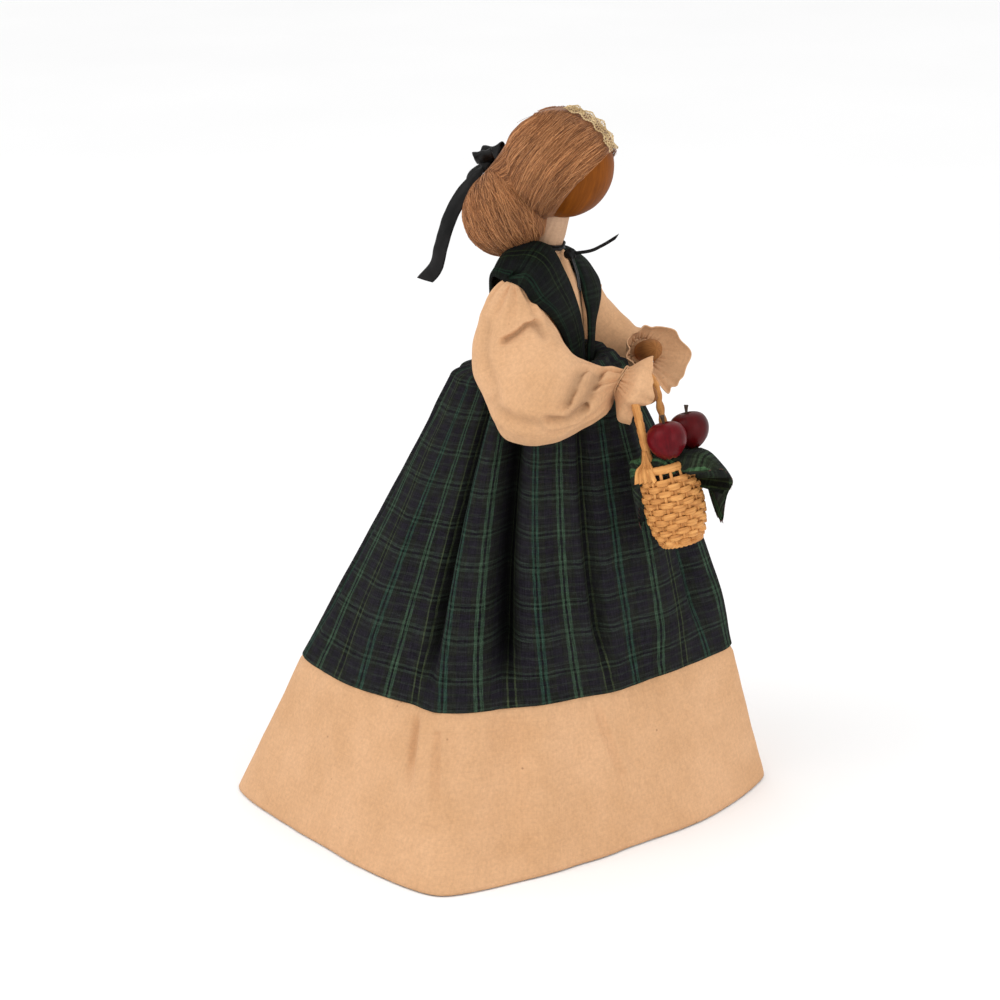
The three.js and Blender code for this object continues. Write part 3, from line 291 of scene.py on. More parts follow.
def polar(degrees):
    return math.cos(math.radians(degrees)), math.sin(math.radians(degrees))


def bell(x, width):
    return math.exp(-((x / width) ** 2))


def ripple(point, size):
    """Smooth noise from -1 to 1 that repeats nowhere, with bumps of about that size."""
    return noise.noise(Vector(point) / size)


def shares(count):
    """Even steps from 0 to 1."""
    return [i / count for i in range(count + 1)]


def turns(count):
    """Even steps round a full turn, in radians."""
    return [2 * math.pi * i / count for i in range(count)]


def spline(keys, t):
    """Value at share t of a smooth curve through keys, each a tuple of numbers."""
    span = clamp(t) * (len(keys) - 1)
    i = min(int(span), len(keys) - 2)
    f = span - i
    a, b, c, d = (keys[max(0, min(len(keys) - 1, i + k))] for k in (-1, 0, 1, 2))
    return tuple(
        0.5 * (2 * q + (r - p) * f + (2 * p - 5 * q + 4 * r - s) * f * f + (3 * q - p - 3 * r + s) * f**3)
        for p, q, r, s in zip(a, b, c, d)
    )


def smooth_path(keys, count):
    return [Vector(spline(keys, t)) for t in shares(count)]


def arc(start, pull, end, t):
    """Place at share t of a curve that leaves one point for another and is pulled to a third."""
    return start * (1 - t) ** 2 + pull * (2 * t * (1 - t)) + end * t**2


def heading(path, i):
    """Which way an open path runs at one of its points."""
    return path[min(len(path) - 1, i + 1)] - path[max(0, i - 1)]


def by_height(rows, height):
    """Straight-line value from rows that start with a height."""
    for low, high in zip(rows, rows[1:]):
        if height <= high[0]:
            t = max(0.0, (height - low[0]) / (high[0] - low[0]))
            return [mix(a, b, t) for a, b in zip(low[1:], high[1:])]
    return list(rows[-1][1:])


def line_distance(point, line):
    """Distance from a flat point to a chain of straight pieces."""
    least = 1e9
    for a, b in zip(line, line[1:]):
        step = Vector(b) - Vector(a)
        t = clamp((point - Vector(a)).dot(step) / step.length_squared)
        least = min(least, (point - Vector(a) - step * t).length)
    return least


def lengths(points):
    """How far along the points each of them lies."""
    far = [0.0]
    for a, b in zip(points, points[1:]):
        far.append(far[-1] + (b - a).length)
    return far


def ring(centre, one, other, count, half, other_half=None):
    """A closed ring of points, from its half width at a turn along one way and along the other."""
    other_half = other_half or half
    return [
        centre + one * (half(t) * math.cos(t)) + other * (other_half(t) * math.sin(t)) for t in turns(count)
    ]


# Pieces

def measured(rows, wrapped, across_row=None):
    """Places on the flat cloth, from the lengths along one row and up the middle column."""
    row = rows[len(rows) // 2 if across_row is None else across_row]
    across = lengths(row + row[:1] if wrapped else row)
    along = lengths([row[len(row) // 2] for row in rows])
    return lambda r, c: (across[c], along[r])


def net(rows, wrapped=True, ends=False):
    """Points of a sheet through rows, its faces, and the row and column of every face's corners."""
    count = len(rows[0])
    columns = count if wrapped else count - 1
    corners = [
        [(r, c), (r, c + 1), (r + 1, c + 1), (r + 1, c)] for r in range(len(rows) - 1) for c in range(columns)
    ]
    if ends:
        corners.append([(0, c) for c in reversed(range(count))])
        corners.append([(len(rows) - 1, c) for c in range(count)])
    faces = [[r * count + c % count for r, c in face] for face in corners]
    return [p for row in rows for p in row], faces, [corner for face in corners for corner in face]


def smooth_mesh(name, points, faces, places):
    mesh = bpy.data.meshes.new(name)
    mesh.from_pydata([tuple(x * MM for x in p) for p in points], [], faces)
    layer = mesh.uv_layers.new(name="cloth")
    layer.data.foreach_set("uv", [x * MM for spot in places for x in spot])
    mesh.shade_smooth()
    return mesh


def place(name, data, body, material, stands_for):
    piece = bpy.data.objects.new(name, data)
    bpy.context.collection.objects.link(piece)
    data.materials.append(material)
    if stands_for:
        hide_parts(stands_for)
    if body:
        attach(piece, body)
    return piece


def lay(name, rows, body, material, stands_for=None, wrapped=True, ends=False, flat=None):
    """A sheet through rows of points. flat(row, column) is the place on the flat cloth."""
    flat = flat or measured(rows, wrapped)
    points, faces, corners = net(rows, wrapped, ends)
    mesh = smooth_mesh(name, points, faces, [flat(*corner) for corner in corners])
    return place(name, mesh, body, material, stands_for)


def join(name, parts, body, material, stands_for):
    """One piece from several sheets, each given as its rows and whether its ends are closed."""
    points, faces, places = [], [], []
    for rows, ends in parts:
        flat = measured(rows, True)
        shift = rng.uniform(0, 0.5) / MM
        more, more_faces, corners = net(rows, True, ends)
        faces += [[len(points) + i for i in face] for face in more_faces]
        points += more
        places += [[x + shift for x in flat(*corner)] for corner in corners]
    return place(name, smooth_mesh(name, points, faces, places), body, material, stands_for)


def thread(name, paths, radius, body, material, stands_for=None, sides=0):
    """A piece of many thin strands, each a list of points and widths."""
    data = bpy.data.curves.new(name, "CURVE")
    data.dimensions = "3D"
    data.bevel_depth = radius * MM
    data.bevel_resolution = sides
    data.use_fill_caps = True
    for path in paths:
        line = data.splines.new("POLY")
        line.points.add(len(path) - 1)
        for bead, (point, width) in zip(line.points, path):
            bead.co = (*(x * MM for x in point), 1)
            bead.radius = width
    return place(name, data, body, material, stands_for)


# Painted shade: stores on each point how deep in a crease it lies, and the materials darken the colour by it.
def mark_painted_shade(piece, shade_amounts):
    marks = piece.data.attributes.new("painted_crease_shade", "FLOAT", "POINT")
    for mark, depth in zip(marks.data, shade_amounts):
        mark.value = clamp(depth)


def thicken(piece, depth, offset=-1):
    shell = piece.modifiers.new("thickness", "SOLIDIFY")
    shell.thickness = depth * MM
    shell.offset = offset
    shell.use_even_offset = False


def calm(rows, r, c):
    """The point drawn towards the points beside it."""
    if r in (0, len(rows) - 1):
        return rows[r][c]
    beside = [rows[r - 1][c], rows[r + 1][c]]
    if 0 < c < len(rows[0]) - 1:
        beside += [rows[r][c - 1], rows[r][c + 1]]
    return mix(rows[r][c], sum(beside, Vector()) / len(beside), 0.6)


def kept_clear(point, tree, room):
    """The point, moved out of a surface if it lies in it or too close to it."""
    near, normal, _, _ = tree.find_nearest(point)
    if (point - near).dot(normal) < room:
        return near + normal * room
    return point


def ribbon_rows(keys, across, width, steps, columns, crimp, cut, fold, neck=1.0):
    """A flat ribbon along a path, its edges a little wavy and its end cut at a slant."""
    path = smooth_path(keys, steps)
    across = Vector(across)
    rows = []
    for i, point in enumerate(path):
        share = i / steps
        along = heading(path, i).normalized()
        side = (across - along * across.dot(along)).normalized()
        out = along.cross(side)
        half = width / 2 * mix(neck, 1, ease(0, 0.4, share))
        row = []
        for t in shares(columns - 1):
            s = 2 * t - 1
            slip = cut * s * ease(0.7, 1, share)
            wave = crimp * ripple(point + side * s * width, 5) + fold * (abs(s) - 0.5)
            row.append(point + side * (s * half) + along * slip + out * wave)
        rows.append(row)
    return rows


# Materials

class Finish:
    """A procedural material put together from nodes."""

    def __init__(self, name, **sockets):
        self.made = bpy.data.materials.new(name)
        self.made.use_nodes = True
        self.tree = self.made.node_tree
        self.shader = self.tree.nodes["Principled BSDF"]
        for key, value in sockets.items():
            self.shader.inputs[key.replace("_", " ")].default_value = value
        self.relief = None

    def add(self, kind, ins=None, out=0, **props):
        made = self.tree.nodes.new(kind)
        for key, value in props.items():
            setattr(made, key, value)
        for key, value in (ins or {}).items():
            if isinstance(value, bpy.types.NodeSocket):
                self.tree.links.new(value, made.inputs[key])
            else:
                made.inputs[key].default_value = (*value, 1) if hasattr(value, "__len__") else value
        return made.outputs[out]

    def calc(self, kind, a, b=0.0):
        return self.add("ShaderNodeMath", {0: a, 1: b}, operation=kind)

    def scaled(self, a, factor):
        return self.calc("MULTIPLY", a, factor)

    def between(self, a, b, share):
        """Two values together, with that share of the first."""
        return self.calc("ADD", self.scaled(a, share), self.scaled(b, 1 - share))

    def ramp(self, value, *stops, mode="LINEAR"):
        out = self.add("ShaderNodeValToRGB", {0: value})
        band = out.node.color_ramp
        band.interpolation = mode
        while len(band.elements) < len(stops):
            band.elements.new(1)
        for point, (at, colour) in zip(band.elements, stops):
            point.position = at
            point.color = (*colour, 1) if hasattr(colour, "__len__") else (colour, colour, colour, 1)
        return out

    def blend(self, share, a, b, kind="MIX"):
        return self.add("ShaderNodeMix", {0: share, 6: a, 7: b}, 2, data_type="RGBA", blend_type=kind)

    def shade(self, tone, value, *stops):
        """The tone times a grey that the value sets."""
        return self.blend(1.0, tone, self.ramp(value, *stops), "MULTIPLY")

    def with_painted_crease_shade(self, tone, darkest):
        """Painted shade: the tone, darker where the cloth lies deep in a fold, in place of the shade there.
        """
        depth = self.add("ShaderNodeAttribute", out="Fac", attribute_name="painted_crease_shade")
        return self.shade(tone, depth, (0.0, 1.0), (1.0, darkest))

    @functools.cached_property
    def flat(self):
        """Place on the flat cloth, across and along, in millimetres."""
        spot = self.add("ShaderNodeUVMap", uv_map="cloth")
        parts = self.add("ShaderNodeSeparateXYZ", {0: spot}).node.outputs
        return self.scaled(parts[0], 1 / MM), self.scaled(parts[1], 1 / MM)

    @functools.cached_property
    def solid(self):
        return self.add("ShaderNodeTexCoord", out="Object")

    def noise(self, vector, scale, detail, rough):
        ins = {"Vector": vector, "Scale": scale, "Detail": detail, "Roughness": rough}
        return self.add("ShaderNodeTexNoise", ins)

    def grain(self, scale, detail=3, rough=0.55):
        """Noise through the solid."""
        return self.noise(self.solid, scale, detail, rough)

    def streaks(self, across, along, detail=2, rough=0.55):
        """Noise on the flat cloth, finer or coarser across it than along it."""
        scaled = {0: self.scaled(self.flat[0], across), 1: self.scaled(self.flat[1], along)}
        return self.noise(self.add("ShaderNodeCombineXYZ", scaled), 1, detail, rough)

    def colour(self, socket):
        self.tree.links.new(socket, self.shader.inputs["Base Color"])

    def rough(self, value, low, high):
        self.tree.links.new(self.ramp(value, (0.3, low), (0.7, high)), self.shader.inputs["Roughness"])

    def bump(self, height, depth, strength):
        """Relief of that depth in millimetres, laid over any relief before it."""
        ins = {"Height": height, "Distance": depth * MM, "Strength": strength}
        if self.relief is not None:
            ins["Normal"] = self.relief
        self.relief = self.add("ShaderNodeBump", ins)
        self.tree.links.new(self.relief, self.shader.inputs["Normal"])


NAVY = (0.0115, 0.0102, 0.0142)
INK = (0.004, 0.004, 0.0045)
PINE = (0.0115, 0.0125, 0.01)
GREEN = (0.035, 0.067, 0.04)
TEAL = (0.02, 0.05, 0.034)
OLIVE = (0.042, 0.055, 0.026)
MOSS = (0.027, 0.039, 0.028)
SLATE = (0.019, 0.0225, 0.019)
FADED = (0.037, 0.038, 0.037)
# Bands of the tartan, each from its place in millimetres to the next
WARP_REPEAT = 41
WARP = [
    (0, GREEN), (1.4, INK), (2.4, GREEN), (3.8, PINE), (7, NAVY), (11.5, PINE), (13.2, OLIVE), (14, INK),
    (16.4, OLIVE), (17.2, PINE), (20, NAVY), (25.5, PINE),
    (27, TEAL), (28.3, INK), (29.3, TEAL), (30.6, PINE),
    (34, NAVY), (38.5, PINE),
]
WEFT_REPEAT = 28
WEFT = [
    (0, MOSS), (1.5, INK), (2.3, MOSS), (3.8, PINE), (4.8, SLATE),
    (5.8, PINE), (7, NAVY), (9, SLATE), (10, NAVY),
    (12, PINE), (13.2, MOSS), (14.2, INK), (15, MOSS), (16, PINE), (17.4, SLATE), (18.6, NAVY), (21, SLATE),
    (22, NAVY), (24.5, PINE), (25.8, SLATE), (26.8, PINE),
]
TWILL_PITCH = 0.7
WEAVE_PITCH = 0.55
FLECK = (0.16, 0.07, 0.03)
STAIN = (0.24, 0.085, 0.022)


def make_tartan(name, gain=(1, 1, 1)):
    f = Finish(name, Specular_IOR_Level=0.06)
    wobble = f.scaled(f.streaks(0.3, 0.3), 0.6)

    def bands(along, stops, repeat, threads, dark, light):
        share = f.calc("FRACT", f.scaled(f.calc("ADD", along, wobble), 1 / repeat))
        tones = [(at / repeat, [g * x for g, x in zip(gain, colour)]) for at, colour in stops]
        return f.shade(f.ramp(share, *tones, mode="CONSTANT"), threads, (0.3, dark), (0.7, light))

    warp = bands(f.flat[0], WARP, WARP_REPEAT, f.streaks(1.7, 0.16), 0.35, 1.7)
    weft = bands(f.flat[1], WEFT, WEFT_REPEAT, f.streaks(0.16, 1.7), 0.3, 1.8)
    under = f.ramp(f.streaks(3.2, 3.2, 1), (0.35, 0.2), (0.65, 0.68))
    cloth = f.shade(f.blend(under, warp, weft), f.streaks(2.2, 2.2, 3), (0.3, 0.65), (0.7, 1.35))
    worn = f.ramp(f.grain(45, 4), (0.4, 0.0), (0.8, 0.14))
    # Painted shade darkens the tartan in the marked creases, down to a quarter of its tone.
    f.colour(f.with_painted_crease_shade(f.blend(worn, cloth, FADED), 0.25))
    f.rough(f.grain(300), 0.88, 0.98)
    f.bump(f.calc("SINE", f.scaled(f.calc("ADD", *f.flat), 2 * math.pi / TWILL_PITCH)), 0.05, 0.4)
    f.bump(f.streaks(1.4, 1.4, 4), 0.25, 0.5)
    return f.made


def make_muslin(name, light, dark, fleck):
    f = Finish(name, Sheen_Weight=0.04, Specular_IOR_Level=0.12)
    threads = f.calc("ADD", f.streaks(3.2, 0.1), f.streaks(0.1, 3.2))
    mottle = f.grain(38, 5, 0.6)
    tone = f.ramp(mottle, (0.3, dark), (0.65, light))
    tone = f.shade(tone, f.scaled(threads, 0.5), (0.32, 0.93), (0.66, 1.04))
    tone = f.shade(tone, f.grain(850, 2), (0.3, 0.92), (0.7, 1.06))
    specks = f.add("ShaderNodeTexVoronoi", {"Vector": f.solid, "Scale": 210.0})
    rare = f.ramp(f.grain(70, 2), (0.58, 0.0), (0.64, 1.0))
    spot = f.calc("MULTIPLY", f.ramp(specks, (0.06, 1.0), (0.12, 0.0)), rare)
    # Painted shade darkens the muslin in the marked creases.
    f.colour(f.with_painted_crease_shade(f.blend(f.scaled(spot, fleck), tone, FLECK), 0.68))
    f.rough(mottle, 0.97, 0.86)
    waves = [f.calc("SINE", f.scaled(x, 2 * math.pi / WEAVE_PITCH)) for x in f.flat]
    f.bump(f.calc("MULTIPLY", *waves), 0.05, 0.5)
    f.bump(threads, 0.12, 0.5)
    f.bump(f.grain(160, 5, 0.6), 0.5, 0.5)
    return f.made


def make_satin():
    f = Finish("satin", Specular_IOR_Level=0.15)
    ribs = f.streaks(0.2, 5)
    f.colour(f.ramp(f.grain(120, 4), (0.35, (0.002, 0.002, 0.002)), (0.7, (0.01, 0.009, 0.009))))
    f.rough(ribs, 0.32, 0.6)
    f.bump(ribs, 0.06, 0.5)
    f.bump(f.grain(420, 4), 0.5, 0.5)
    return f.made


def make_hair(name, streaky, dark, middle, light):
    f = Finish(name, Sheen_Weight=0.08, Specular_IOR_Level=0.2)
    patches = f.grain(60)
    if streaky:
        streaks = f.streaks(1.9, 0.06, 5, 0.65)
        f.bump(streaks, 0.7, 0.6)
        tone = f.ramp(streaks, (0.3, dark), (0.5, middle), (0.7, light))
    else:
        each = f.add("ShaderNodeNewGeometry", out="Random Per Island")
        tone = f.ramp(each, (0.0, dark), (0.5, middle), (1.0, light))
    f.colour(f.shade(tone, patches, (0.3, 0.82), (0.7, 1.12)))
    f.rough(patches, 0.46, 0.6)
    return f.made


def make_wood(name, dark, light, fine):
    f = Finish(name, Specular_IOR_Level=0.07)
    lines = f.streaks(1.1 * fine, 0.06 * fine, 4, 0.6)
    pores = f.streaks(5 * fine, 0.4 * fine)
    patches = f.grain(60)
    tone = f.ramp(f.between(lines, patches, 0.55), (0.34, dark), (0.64, light))
    f.colour(f.shade(tone, pores, (0.3, 0.82), (0.55, 1.05)))
    f.rough(lines, 0.44, 0.6)
    f.bump(pores, 0.05, 0.4)
    f.bump(patches, 0.4, 0.3)
    return f.made


def make_straw():
    f = Finish("straw", Specular_IOR_Level=0.2)
    fibres = f.streaks(5, 0.12, 3, 0.6)
    reeds = f.streaks(0.35, 0.09)
    tone = f.ramp(
        f.between(fibres, reeds, 0.5),
        (0.32, (0.26, 0.092, 0.024)), (0.48, (0.56, 0.245, 0.07)), (0.66, (0.8, 0.41, 0.135)),
    )
    f.colour(f.blend(f.ramp(f.grain(260), (0.62, 0.0), (0.8, 0.5)), tone, STAIN))
    f.rough(fibres, 0.42, 0.68)
    f.bump(fibres, 0.16, 0.6)
    return f.made


def make_lace():
    f = Finish("lace", Specular_IOR_Level=0.2)
    fine = f.grain(900)
    tone = f.ramp(f.grain(120), (0.35, (0.52, 0.36, 0.17)), (0.6, (0.8, 0.62, 0.36)))
    f.colour(f.shade(tone, fine, (0.3, 0.75), (0.7, 1.1)))
    f.rough(fine, 0.78, 0.95)
    f.bump(fine, 0.2, 0.6)
    return f.made


def make_apple(name, dark, light):
    f = Finish(name, Specular_IOR_Level=0.12)
    patches = f.grain(130, 4)
    f.colour(f.ramp(f.between(f.streaks(0.8, 0.12, 4, 0.6), patches, 0.35), (0.3, dark), (0.6, light)))
    f.rough(patches, 0.28, 0.44)
    f.bump(f.grain(380, 4), 0.3, 0.4)
    return f.made


def make_plain(name, dark, light, rough, scale, metal=0.0):
    f = Finish(name, Metallic=metal)
    grain = f.grain(scale, 5, 0.6)
    f.colour(f.ramp(grain, (0.3, dark), (0.7, light)))
    f.rough(grain, rough - 0.08, rough + 0.06)
    f.bump(grain, 0.15, 0.4)
    return f.made


TARTAN = make_tartan("tartan")
VEST_TARTAN = make_tartan("vest_tartan", (0.36, 0.44, 0.36))
NAPKIN_TARTAN = make_tartan("napkin_tartan", (1.5, 1.8, 1.3))
MUSLIN = make_muslin("muslin", (0.66, 0.39, 0.215), (0.58, 0.33, 0.17), 0.5)
NECK_CLOTH = make_muslin("neck_cloth", (0.56, 0.36, 0.235), (0.46, 0.28, 0.17), 0.1)
SATIN = make_satin()
# Painted shade: the hair under the strands has darker tones than the strands, for the shade between them.
SHADED_HAIR_BASE = make_hair("mohair_base_painted_shade", True, (0.12, 0.043, 0.013), (0.26, 0.102, 0.036), (0.42, 0.184, 0.07))
HAIR_STRAND = make_hair(
    "mohair_strands", False, (0.15, 0.053, 0.017), (0.35, 0.14, 0.049), (0.6, 0.28, 0.115),
)
FACE = make_wood("face_wood", (0.095, 0.025, 0.002), (0.225, 0.062, 0.005), 0.5)
HAND_WOOD = make_wood("hand_wood", (0.15, 0.052, 0.014), (0.37, 0.155, 0.048), 1.4)
STRAW = make_straw()
LACE = make_lace()
APPLE_SKINS = {
    "apple_front": make_apple("apple_skin_front", (0.026, 0.001, 0.002), (0.075, 0.002, 0.003)),
    "apple_rear": make_apple("apple_skin_rear", (0.042, 0.001, 0.003), (0.135, 0.003, 0.007)),
}
STEM = make_plain("stem", (0.02, 0.011, 0.006), (0.07, 0.04, 0.022), 0.8, 700)
CARD = make_plain("card", (0.34, 0.24, 0.13), (0.46, 0.33, 0.19), 0.9, 260)
THREAD = make_plain("thread", (0.5, 0.28, 0.14), (0.64, 0.38, 0.2), 0.9, 600)
WIRE = make_plain("wire", (0.2, 0.2, 0.21), (0.34, 0.34, 0.35), 0.42, 800, 1.0)
PLUG_WOOD = make_plain("plug_wood", (0.4, 0.25, 0.12), (0.55, 0.36, 0.18), 0.7, 180)
FRAY = make_plain("fray", (0.05, 0.02, 0.018), (0.13, 0.05, 0.04), 0.9, 500)

for node, finish in {
    "base_disc": CARD, "body_cone": CARD, "cone_plug": PLUG_WOOD, "spine_wire": WIRE,
    "right_arm_wire": WIRE, "left_arm_wire": WIRE,
}.items():
    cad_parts[node].data.materials.clear()
    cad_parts[node].data.materials.append(finish)


# Skirt and border

TURNS = sorted([(seam, wrap(waist - seam)) for waist, seam, _, _ in SKIRT_FOLDS] + [ROLL_TURN])


@functools.cache
def corners_at(height):
    below = height < SEAM
    low, high = (HEM_CORNERS, SEAM_CORNERS) if below else (SEAM_CORNERS, WAIST_CORNERS)
    t = height / SEAM if below else min(1, (height - SEAM) / (PUFF - SEAM))
    corners = [[mix(a, b, t) for a, b in zip(p, q)] for p, q in zip(low, high)]
    return list(zip(corners, corners[1:] + corners[:1]))


def outline(bearing, height):
    for (start, reach, dip), (end, after, _) in corners_at(height):
        span = (end - start) % 360
        along = (bearing - start) % 360
        if along <= span:
            return mix(reach, after, along / span) - dip * math.sin(math.pi * along / span)
    return 0


def soft_outline(bearing, height):
    """The outline with its corners rounded over."""
    steps = ((-4, 1), (-2, 2), (0, 3), (2, 2), (4, 1))
    return sum(weight * outline(bearing + step, height) for step, weight in steps) / 9


def turn_to_waist(seat):
    """How far a line of the cloth turns round the doll from the seam up to the waist."""
    for (a, p), (b, q) in zip(TURNS, TURNS[1:] + [(TURNS[0][0] + 360, TURNS[0][1])]):
        along = (seat - a) % 360
        if along <= b - a:
            return mix(p, q, ease(0, b - a, along))
    return 0


def rise_at(height):
    return clamp((height - SEAM) / (PUFF - SEAM))


def fold_strength(height):
    if height < SEAM:
        return 0.35 * ease(SEAM - 40, SEAM, height)
    rise = rise_at(height)
    return mix(0.35, 1, ease(0, 0.22, rise)) * mix(1, 0.6, rise)


def skirt_crease(seat, rise):
    deep = 0.0
    for seam, depth, spread in SKIRT_CREASES:
        deep += depth * bell(wrap(seat - seam), spread * mix(1, 1.7, rise))
    return deep * ease(0, 0.25, rise)


def skirt_relief(seat, height):
    rise = rise_at(height)
    relief = 0.0
    for _, seam, spread, high in SKIRT_FOLDS:
        relief += high * bell(wrap(seat - seam), spread)
    for seam, half, high in SKIRT_ROLLS:
        relief += high * max(0.0, 1 - (wrap(seat - seam) / half) ** 2) ** 0.8
    relief -= skirt_crease(seat, rise)
    a = math.radians(seat)
    gathers = 0.5 * math.sin(17 * a + 1) + 0.3 * math.sin(29 * a + 2.4)
    return relief * fold_strength(height) + ease(0.55, 1, rise) * gathers


def skirt_point(seat, height, inset=0.0):
    rise = rise_at(height)
    early = mix(rise, 1 - (1 - rise) ** 2.5, bell(wrap(seat - 245), 30))
    bearing = (seat + turn_to_waist(seat) * early) % 360
    x, y = polar(bearing)
    bulge = SKIRT_BULGE * math.sin(math.pi * rise) * max(0.0, -y)
    reach = soft_outline(bearing, height) + bulge + skirt_relief(seat, height) - inset
    spot = (x * 90, y * 90, height)
    reach += 0.55 * ripple(spot, 26) + 0.2 * ripple(spot, 9)
    return Vector((reach * x, reach * y - FORWARD * min(1, height / PUFF), height))


def puff_point(seat, share):
    """The gathered top of the skirt, rolled in to the waistband."""
    axis = Vector((0, -FORWARD, PUFF))
    out = skirt_point(seat, PUFF) - axis
    reach = out.length
    rise, inward = spline(PUFF_ROWS, share)
    rise *= mix(1, 0.45, max(0, out.y / reach))
    half_x, half_y = (half + GAP + CLOTH for half in by_height(BODICE_ROWS, rise - 6))
    seat_reach = reach / math.hypot(out.x / half_x, out.y / half_y) + GAP + CLOTH
    front = max(0.0, -out.y / reach)
    roll = 1.2 * front * math.sin(5.5 * math.pi * inward) * (1 - inward)
    pleat = (1 - inward) * 0.4 * math.sin(23 * math.radians(seat) + 3 * inward) * ease(0, 0.3, share)
    held = max(seat_reach, mix(reach, seat_reach, inward)) + pleat
    return axis + out.normalized() * held + UP * (rise + roll)


def make_skirt():
    seats = [360 * c / SKIRT_COLUMNS for c in range(SKIRT_COLUMNS)]
    foot = SEAM + 0.5
    heights = [foot + (PUFF - foot) * i / SKIRT_ROWS for i in range(SKIRT_ROWS)]
    rows = [[skirt_point(s, SEAM + 1.6, 1.3) for s in seats], [skirt_point(s, SEAM, 0.5) for s in seats]]
    rows += [[skirt_point(s, h) for s in seats] for h in heights]
    rows += [[puff_point(s, share) for s in seats] for share in shares(PUFF_STEPS)]
    skirt = lay("skirt_cloth", rows, "doll", TARTAN, "skirt", flat=measured(rows, True, 2))
    # Painted shade: each point's share of its crease depth darkens the tartan there.
    rises = [0, 0] + [rise_at(h) for h in heights] + [1] * (PUFF_STEPS + 1)
    mark_painted_shade(skirt, (skirt_crease(s, rise) / 9 * mix(1, 0.7, rise) for rise in rises for s in seats))
    thicken(skirt, SHEET)


def border_point(seat, height):
    point = skirt_point(seat, height, 0.2 + 0.9 * ease(SEAM - 3, SEAM + 0.5, height))
    away = Vector((point.x, point.y + FORWARD * height / PUFF, 0)).normalized()
    dent = 0.0
    for low_seat, high_seat, top, foot, width, depth in BORDER_CREASES:
        if foot - 8 < height < top + 2:
            t = (top - height) / (top - foot)
            off = wrap(seat - mix(low_seat, high_seat, t)) * 1.5
            form = bell(off, width) - 0.6 * bell(off - width * 2, width)
            dent += depth * form * ease(foot - 8, foot + 6, height)
    a = math.radians(seat)
    pucker = 0.22 * ease(40, SEAM, height) * (math.sin(31 * a) + 0.8 * math.sin(53 * a + 1))
    return point + away * (pucker - dent * ease(SEAM + 1, SEAM - 9, height))


def make_border():
    seats = [360 * c / BORDER_COLUMNS for c in range(BORDER_COLUMNS)]
    rows = [[border_point(s, mix(0.2, SEAM + 1.4, share)) for s in seats] for share in shares(44)]
    border = lay("border_cloth", rows, "doll", MUSLIN, "skirt_border")
    thicken(border, SHEET)


# Body

def make_body():
    rows = []
    for share in shares(48):
        rise, half_x, half_y = spline(BODICE_ROWS, share)
        centre = Vector((0, -FORWARD, WAIST + rise))
        row = ring(centre, ACROSS, BACK, 96, lambda t: half_x, lambda t: half_y)
        rows.append([p + (p - centre).normalized() * 0.3 * ripple(p, 6) for p in row])
    parts = [(rows, True)]
    for inner, outer in ARMHOLES:
        rows = []
        for share in shares(12):
            x = mix(inner, outer, share)
            radius = ARMHOLE_RADIUS - 0.7 * bell(abs(x) - 24, 4)
            centre = Vector((x, -15, 205.4))
            rows.append(ring(centre, BACK, UP, 54, lambda t: radius + 0.2 * math.sin(9 * t + 1)))
        parts.append((rows, True))
    bodice = join("bodice_cloth", parts, "doll", MUSLIN, "bodice")
    rows = []
    for share in shares(8):
        rise = 6 * share - 6
        grow = GAP + CLOTH * (0.6 + 0.4 * math.sin(math.pi * share))
        half_x, half_y = (half + grow for half in by_height(BODICE_ROWS, rise))
        rows.append(ring(
            Vector((0, -FORWARD, WAIST + rise)), ACROSS, BACK, 144,
            lambda t: half_x + 0.2 * math.sin(36 * t), lambda t: half_y + 0.2 * math.sin(36 * t),
        ))
    band = lay("waistband_cloth", rows, "doll", TARTAN, "waistband")
    thicken(band, 0.5)


def make_vest(name, side):
    out, up, sink, wide = STRAP_FIT[name]
    inner = []
    outer = []
    for k, (depth, rise, near, far, turn_in, droop) in enumerate(VEST_STATIONS):
        y = -FORWARD - depth
        level = WAIST + rise - sink * bell(k - 4.5, 2)
        inner.append((side * (near + out * bell(k - 2.6, 1.7)), y, level + up * bell(k - 4.4, 1.5)))
        outer.append((side * far, y + math.copysign(turn_in, depth), level - droop))
    for k, (x, y, z) in STRAP_OVER_SLEEVE.items():
        outer[k] = (side * x * wide, y, z - sink)
    insides = smooth_path(inner, STRAP_STEPS)
    outsides = smooth_path(outer, STRAP_STEPS)
    sleeve = SLEEVE_SURFACES[name]
    rows = []
    for i, (a, b) in enumerate(zip(insides, outsides)):
        across = (b - a).normalized()
        away = (heading(insides, i) + heading(outsides, i)).cross(across).normalized() * -side
        over = bell(i / STRAP_STEPS - 0.44, 0.14)
        curl = bell(i / STRAP_STEPS - 0.68, 0.07)
        full = 1.1 + 2.4 * over if side < 0 else 0.7
        row = []
        for s in shares(STRAP_COLUMNS - 1):
            crown = full * math.sin(math.pi * s) + 0.35 * ripple(mix(a, b, s), 7)
            edge = 1.2 * curl * ease(0.6, 1, s) - 1.3 * (ease(0.12, 0, s) + ease(0.9, 1, s) * (1 - over))
            slip = 1.1 * (ease(0.1, 0, s) - ease(0.9, 1, s))
            point = mix(a, b, s) + away * (crown + edge + 0.5) + across * slip
            row.append(kept_clear(point, sleeve, STRAP_ROOM))
        rows.append(row)
    for _ in range(4):
        rows = [
            [kept_clear(calm(rows, r, c), sleeve, STRAP_ROOM) for c in range(STRAP_COLUMNS)]
            for r in range(STRAP_STEPS + 1)
        ]
    if side > 0:
        rows = [row[::-1] for row in rows]
    strap = lay(f"vest_{name}_cloth", rows, None, VEST_TARTAN, f"vest_{name}", False)
    thicken(strap, 0.7, 1)
    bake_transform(strap)


# Neck and head

def neck_ring(along, radius):
    return ring(NECK_BASE + NECK_AIM * along, ACROSS, -NECK_FRONT, 96, radius)


